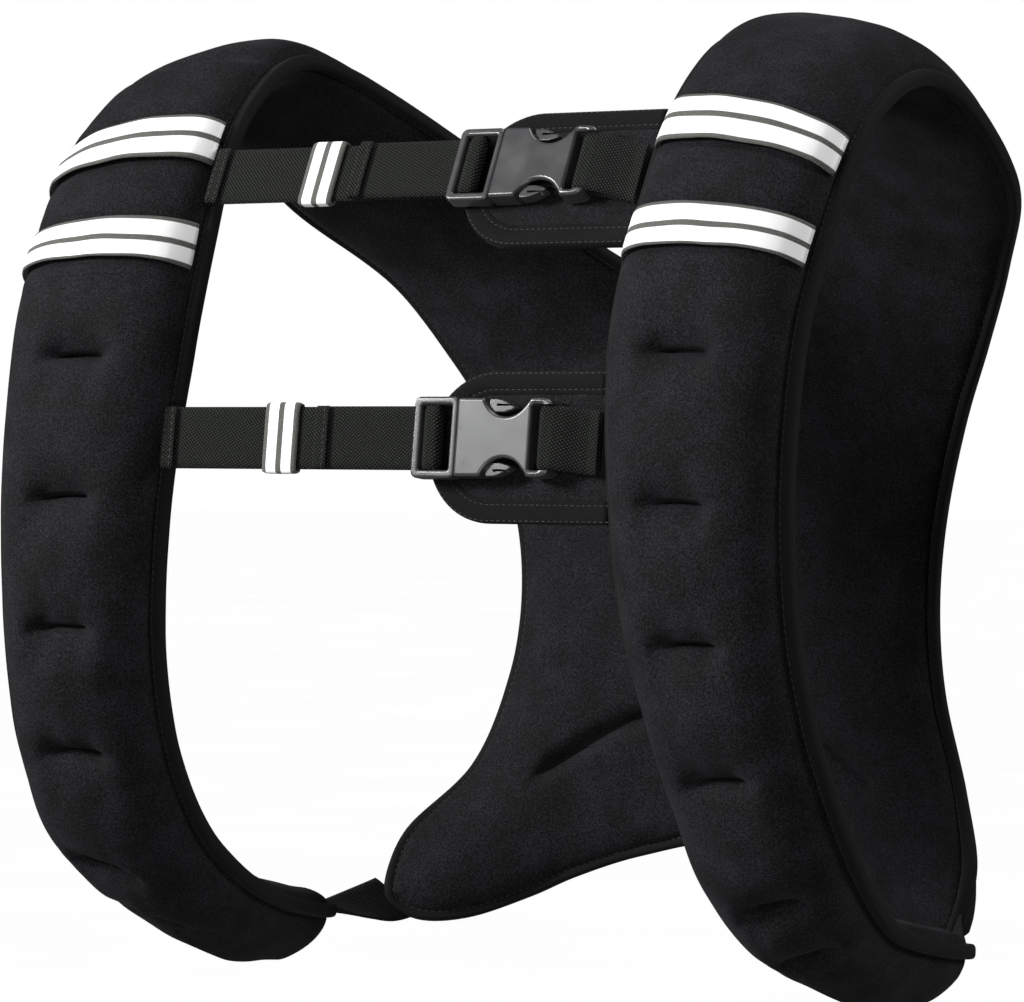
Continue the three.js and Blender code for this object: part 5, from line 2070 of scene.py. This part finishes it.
        rings[..., 1] = middle - profile[None, :, 1] * s.pad_depth / 2
        weave = cloth_grid(distances(outer), round_trip(profile) * s.pad_tape)
        shell = Shell()
        tube(shell, self.world(rings), weave, False)
        tape = settle(shell.piece(f"{self.name}_pad_binding", self.finishes.pad_tape), "edge_tape",
                      [f"{self.name}_pad_tape"])
        lines = []
        forward = self.back[:3, :3] @ np.array([0.0, -1.0, 0.0])
        for share in (0.765, 0.1):
            flat = outer + (inner - outer) * share
            height = float(np.interp(share, profile[:12, 0], profile[:12, 1])) * s.pad_depth / 2
            points = np.stack([flat[:, 0], np.full(len(flat), middle - height), flat[:, 1]], axis=1)
            lines.append((self.world(points), np.tile(forward, (len(flat), 1))))
        thread = self.stitches.sew(f"{self.name}_pad_stitches", lines, self.finishes.thread,
                                   spacing=2.6 * MM, length=2.0 * MM, width=0.45 * MM, height=0.3 * MM)
        return [core, tape, settle(thread, "edge_tape")]

    def build(self) -> None:
        """Makes every piece of the strap."""
        self.long_web()
        self.keeper()
        self.buckle_frame()
        self.buckle_socket()
        self.short_web()
        self.pad()


@dataclass
class SideWebs:
    """The short webs between the straps' tips and the back panel's lower corners."""

    form: Form
    finishes: Finishes
    hem_share: float = 0.92
    sag: float = 3.0 * MM
    width: float = 25.0 * MM
    thickness: float = 1.4 * MM
    tip_inside: float = 8.0 * MM
    sewn_in: float = 6.0 * MM
    hem_inside: float = 2.4 * MM

    def build(self) -> list[bpy.types.Object]:
        """Makes both webs.

        Returns:
            The pieces, dressed and settled.
        """
        sheet = self.form.edge_sheet
        inward = sheet.inward(Edge.NECK, np.array(0.0))
        tip = sheet.inner(np.array(0.0)) + inward * self.tip_inside
        tip_across = unit(sheet.outer(np.array(1.0)) - sheet.inner(np.array(1.0)))
        place = np.array(self.hem_share)
        corner = sheet.hem(place) + sheet.inward(Edge.HEM, place) * self.hem_inside
        corner_across = sheet.tangent(Edge.HEM, place)
        share = np.linspace(0.0, 1.0, 60)[:, None]
        centre = tip + (corner - tip) * share
        centre[:, 2] -= self.sag * 4.0 * (share * (1.0 - share))[:, 0]
        across = unit(tip_across + (corner_across - tip_across) * smooth(share))
        along = unit(corner - tip)
        sewn = np.linspace(self.sewn_in, 0.0, 8)[:-1, None]
        centre = np.vstack([tip + sewn * inward, centre])
        across = np.vstack([np.tile(tip_across, (len(sewn), 1)), across])
        face = unit(np.cross(across, along))
        section = strap_section(self.width, self.thickness)
        rings = (centre[:, None, :] + across[:, None, :] * section[None, :, 0, None]
                 + face[:, None, :] * section[None, :, 1, None])
        weave = cloth_grid(distances(centre), round_trip(section))
        made = []
        for side, part in (("left", rings), ("right", flipped(rings))):
            shell = Shell()
            tube(shell, part, weave, False)
            piece = shell.piece(f"{side}_side_webbing", self.finishes.webbing)
            made.append(settle(piece, "webbing", [f"{side}_side_web"]))
        return made


@dataclass
class Studio:
    """The camera at the photograph's angle, soft lights and a pale floor."""

    azimuth: float = 33.0
    pitch: float = 1.024
    place: tuple[float, float, float] = (1.1086, -1.7121, -0.128)
    lens: float = 175.0
    floor: float = -0.9
    ambient: float = 0.06

    def seen_white(self, tree: bpy.types.NodeTree) -> bpy.types.NodeSocket:
        """A strength of 1 where the camera looks, and the ambient share for the light on the vest.

        Args:
            tree: The world's or the floor's tree.

        Returns:
            The strength's output.
        """
        path = tree.nodes.new("ShaderNodeLightPath")
        strength = tree.nodes.new("ShaderNodeMapRange")
        strength.inputs["To Min"].default_value = self.ambient
        tree.links.new(path.outputs["Is Camera Ray"], strength.inputs["Value"])
        return strength.outputs["Result"]

    def camera(self) -> None:
        """Makes the camera."""
        data = bpy.data.cameras.new("camera")
        data.lens = self.lens
        data.sensor_width = 36.0
        data.clip_start = 0.05
        data.clip_end = 100.0
        camera = bpy.data.objects.new("camera", data)
        a, e = math.radians(self.azimuth), math.radians(self.pitch)
        look = Vector((-math.sin(a) * math.cos(e), math.cos(a) * math.cos(e), -math.sin(e)))
        camera.location = self.place
        camera.rotation_euler = look.to_track_quat("-Z", "Y").to_euler()
        bpy.context.scene.collection.objects.link(camera)
        bpy.context.scene.camera = camera

    def light(self, name: str, place: tuple[float, float, float], size: float, power: float) -> None:
        """Makes a soft square light that faces the vest.

        Args:
            name: The light's name.
            place: Where it stands.
            size: Its width, in metres.
            power: In watts.
        """
        data = bpy.data.lights.new(name, "AREA")
        data.shape = "SQUARE"
        data.size = size
        data.energy = power
        lamp = bpy.data.objects.new(name, data)
        lamp.location = place
        aim = Vector((0.0, 0.03, -0.15)) - Vector(place)
        lamp.rotation_euler = aim.to_track_quat("-Z", "Y").to_euler()
        bpy.context.scene.collection.objects.link(lamp)

    def build(self) -> None:
        """Lights the scene and lays the floor."""
        scene = bpy.context.scene
        scene.view_settings.view_transform = "Standard"
        world = bpy.data.worlds.new("studio")
        world.use_nodes = True
        back = world.node_tree.nodes["Background"]
        back.inputs["Color"].default_value = (1.0, 1.0, 1.0, 1.0)
        world.node_tree.links.new(self.seen_white(world.node_tree), back.inputs["Strength"])
        scene.world = world
        self.light("key", (-1.6, -1.6, 0.8), 0.7, 80.0)
        self.light("front", (0.3, -2.2, 0.4), 0.8, 6.0)
        self.light("rim", (1.7, 0.9, 0.6), 0.5, 16.0)
        self.light("top", (0.1, -0.2, 1.8), 0.9, 16.0)
        self.light("low", (0.4, -1.3, -0.85), 0.5, 9.0)
        mesh = bpy.data.meshes.new("floor")
        reach = 30.0
        corners = [(-reach, -reach, self.floor), (reach, -reach, self.floor),
                   (reach, reach, self.floor), (-reach, reach, self.floor)]
        mesh.from_pydata(corners, [], [(0, 1, 2, 3)])
        recipe = Recipe("pale_floor")
        speck = recipe.noise(recipe.place(), 3.0, 2.0)
        pale = recipe.blend(speck, tone(250, 250, 250), tone(255, 255, 255))
        recipe.surface(Base_Color=tone(90, 90, 90), Roughness=0.95, Specular_IOR_Level=0.1,
                       Emission_Color=pale, Emission_Strength=self.seen_white(recipe.tree))
        mesh.materials.append(recipe.material)
        add_object("floor", mesh)


def main() -> None:
    """Builds the vest piece by piece."""
    logging.basicConfig(level=logging.INFO, format="%(name)s: %(message)s")
    studio = Studio()
    studio.camera()
    finishes = Finishes()
    stitches = StitchTree()
    form = Form()
    Padding(form, finishes).build()
    Binding(form, finishes, stitches).build()
    Bands(form, finishes).build()
    ChestStrap("upper", 11.72, 1.02, -0.48, -0.321, finishes.upper_plastic, form, finishes,
               stitches, droop=3.5 * MM).build()
    ChestStrap("lower", 9.42, 0.9, -0.448, -0.28, finishes.lower_plastic, form, finishes,
               stitches, droop=1.5 * MM).build()
    SideWebs(form, finishes).build()
    studio.build()


if __name__ == "__main__":
    main()
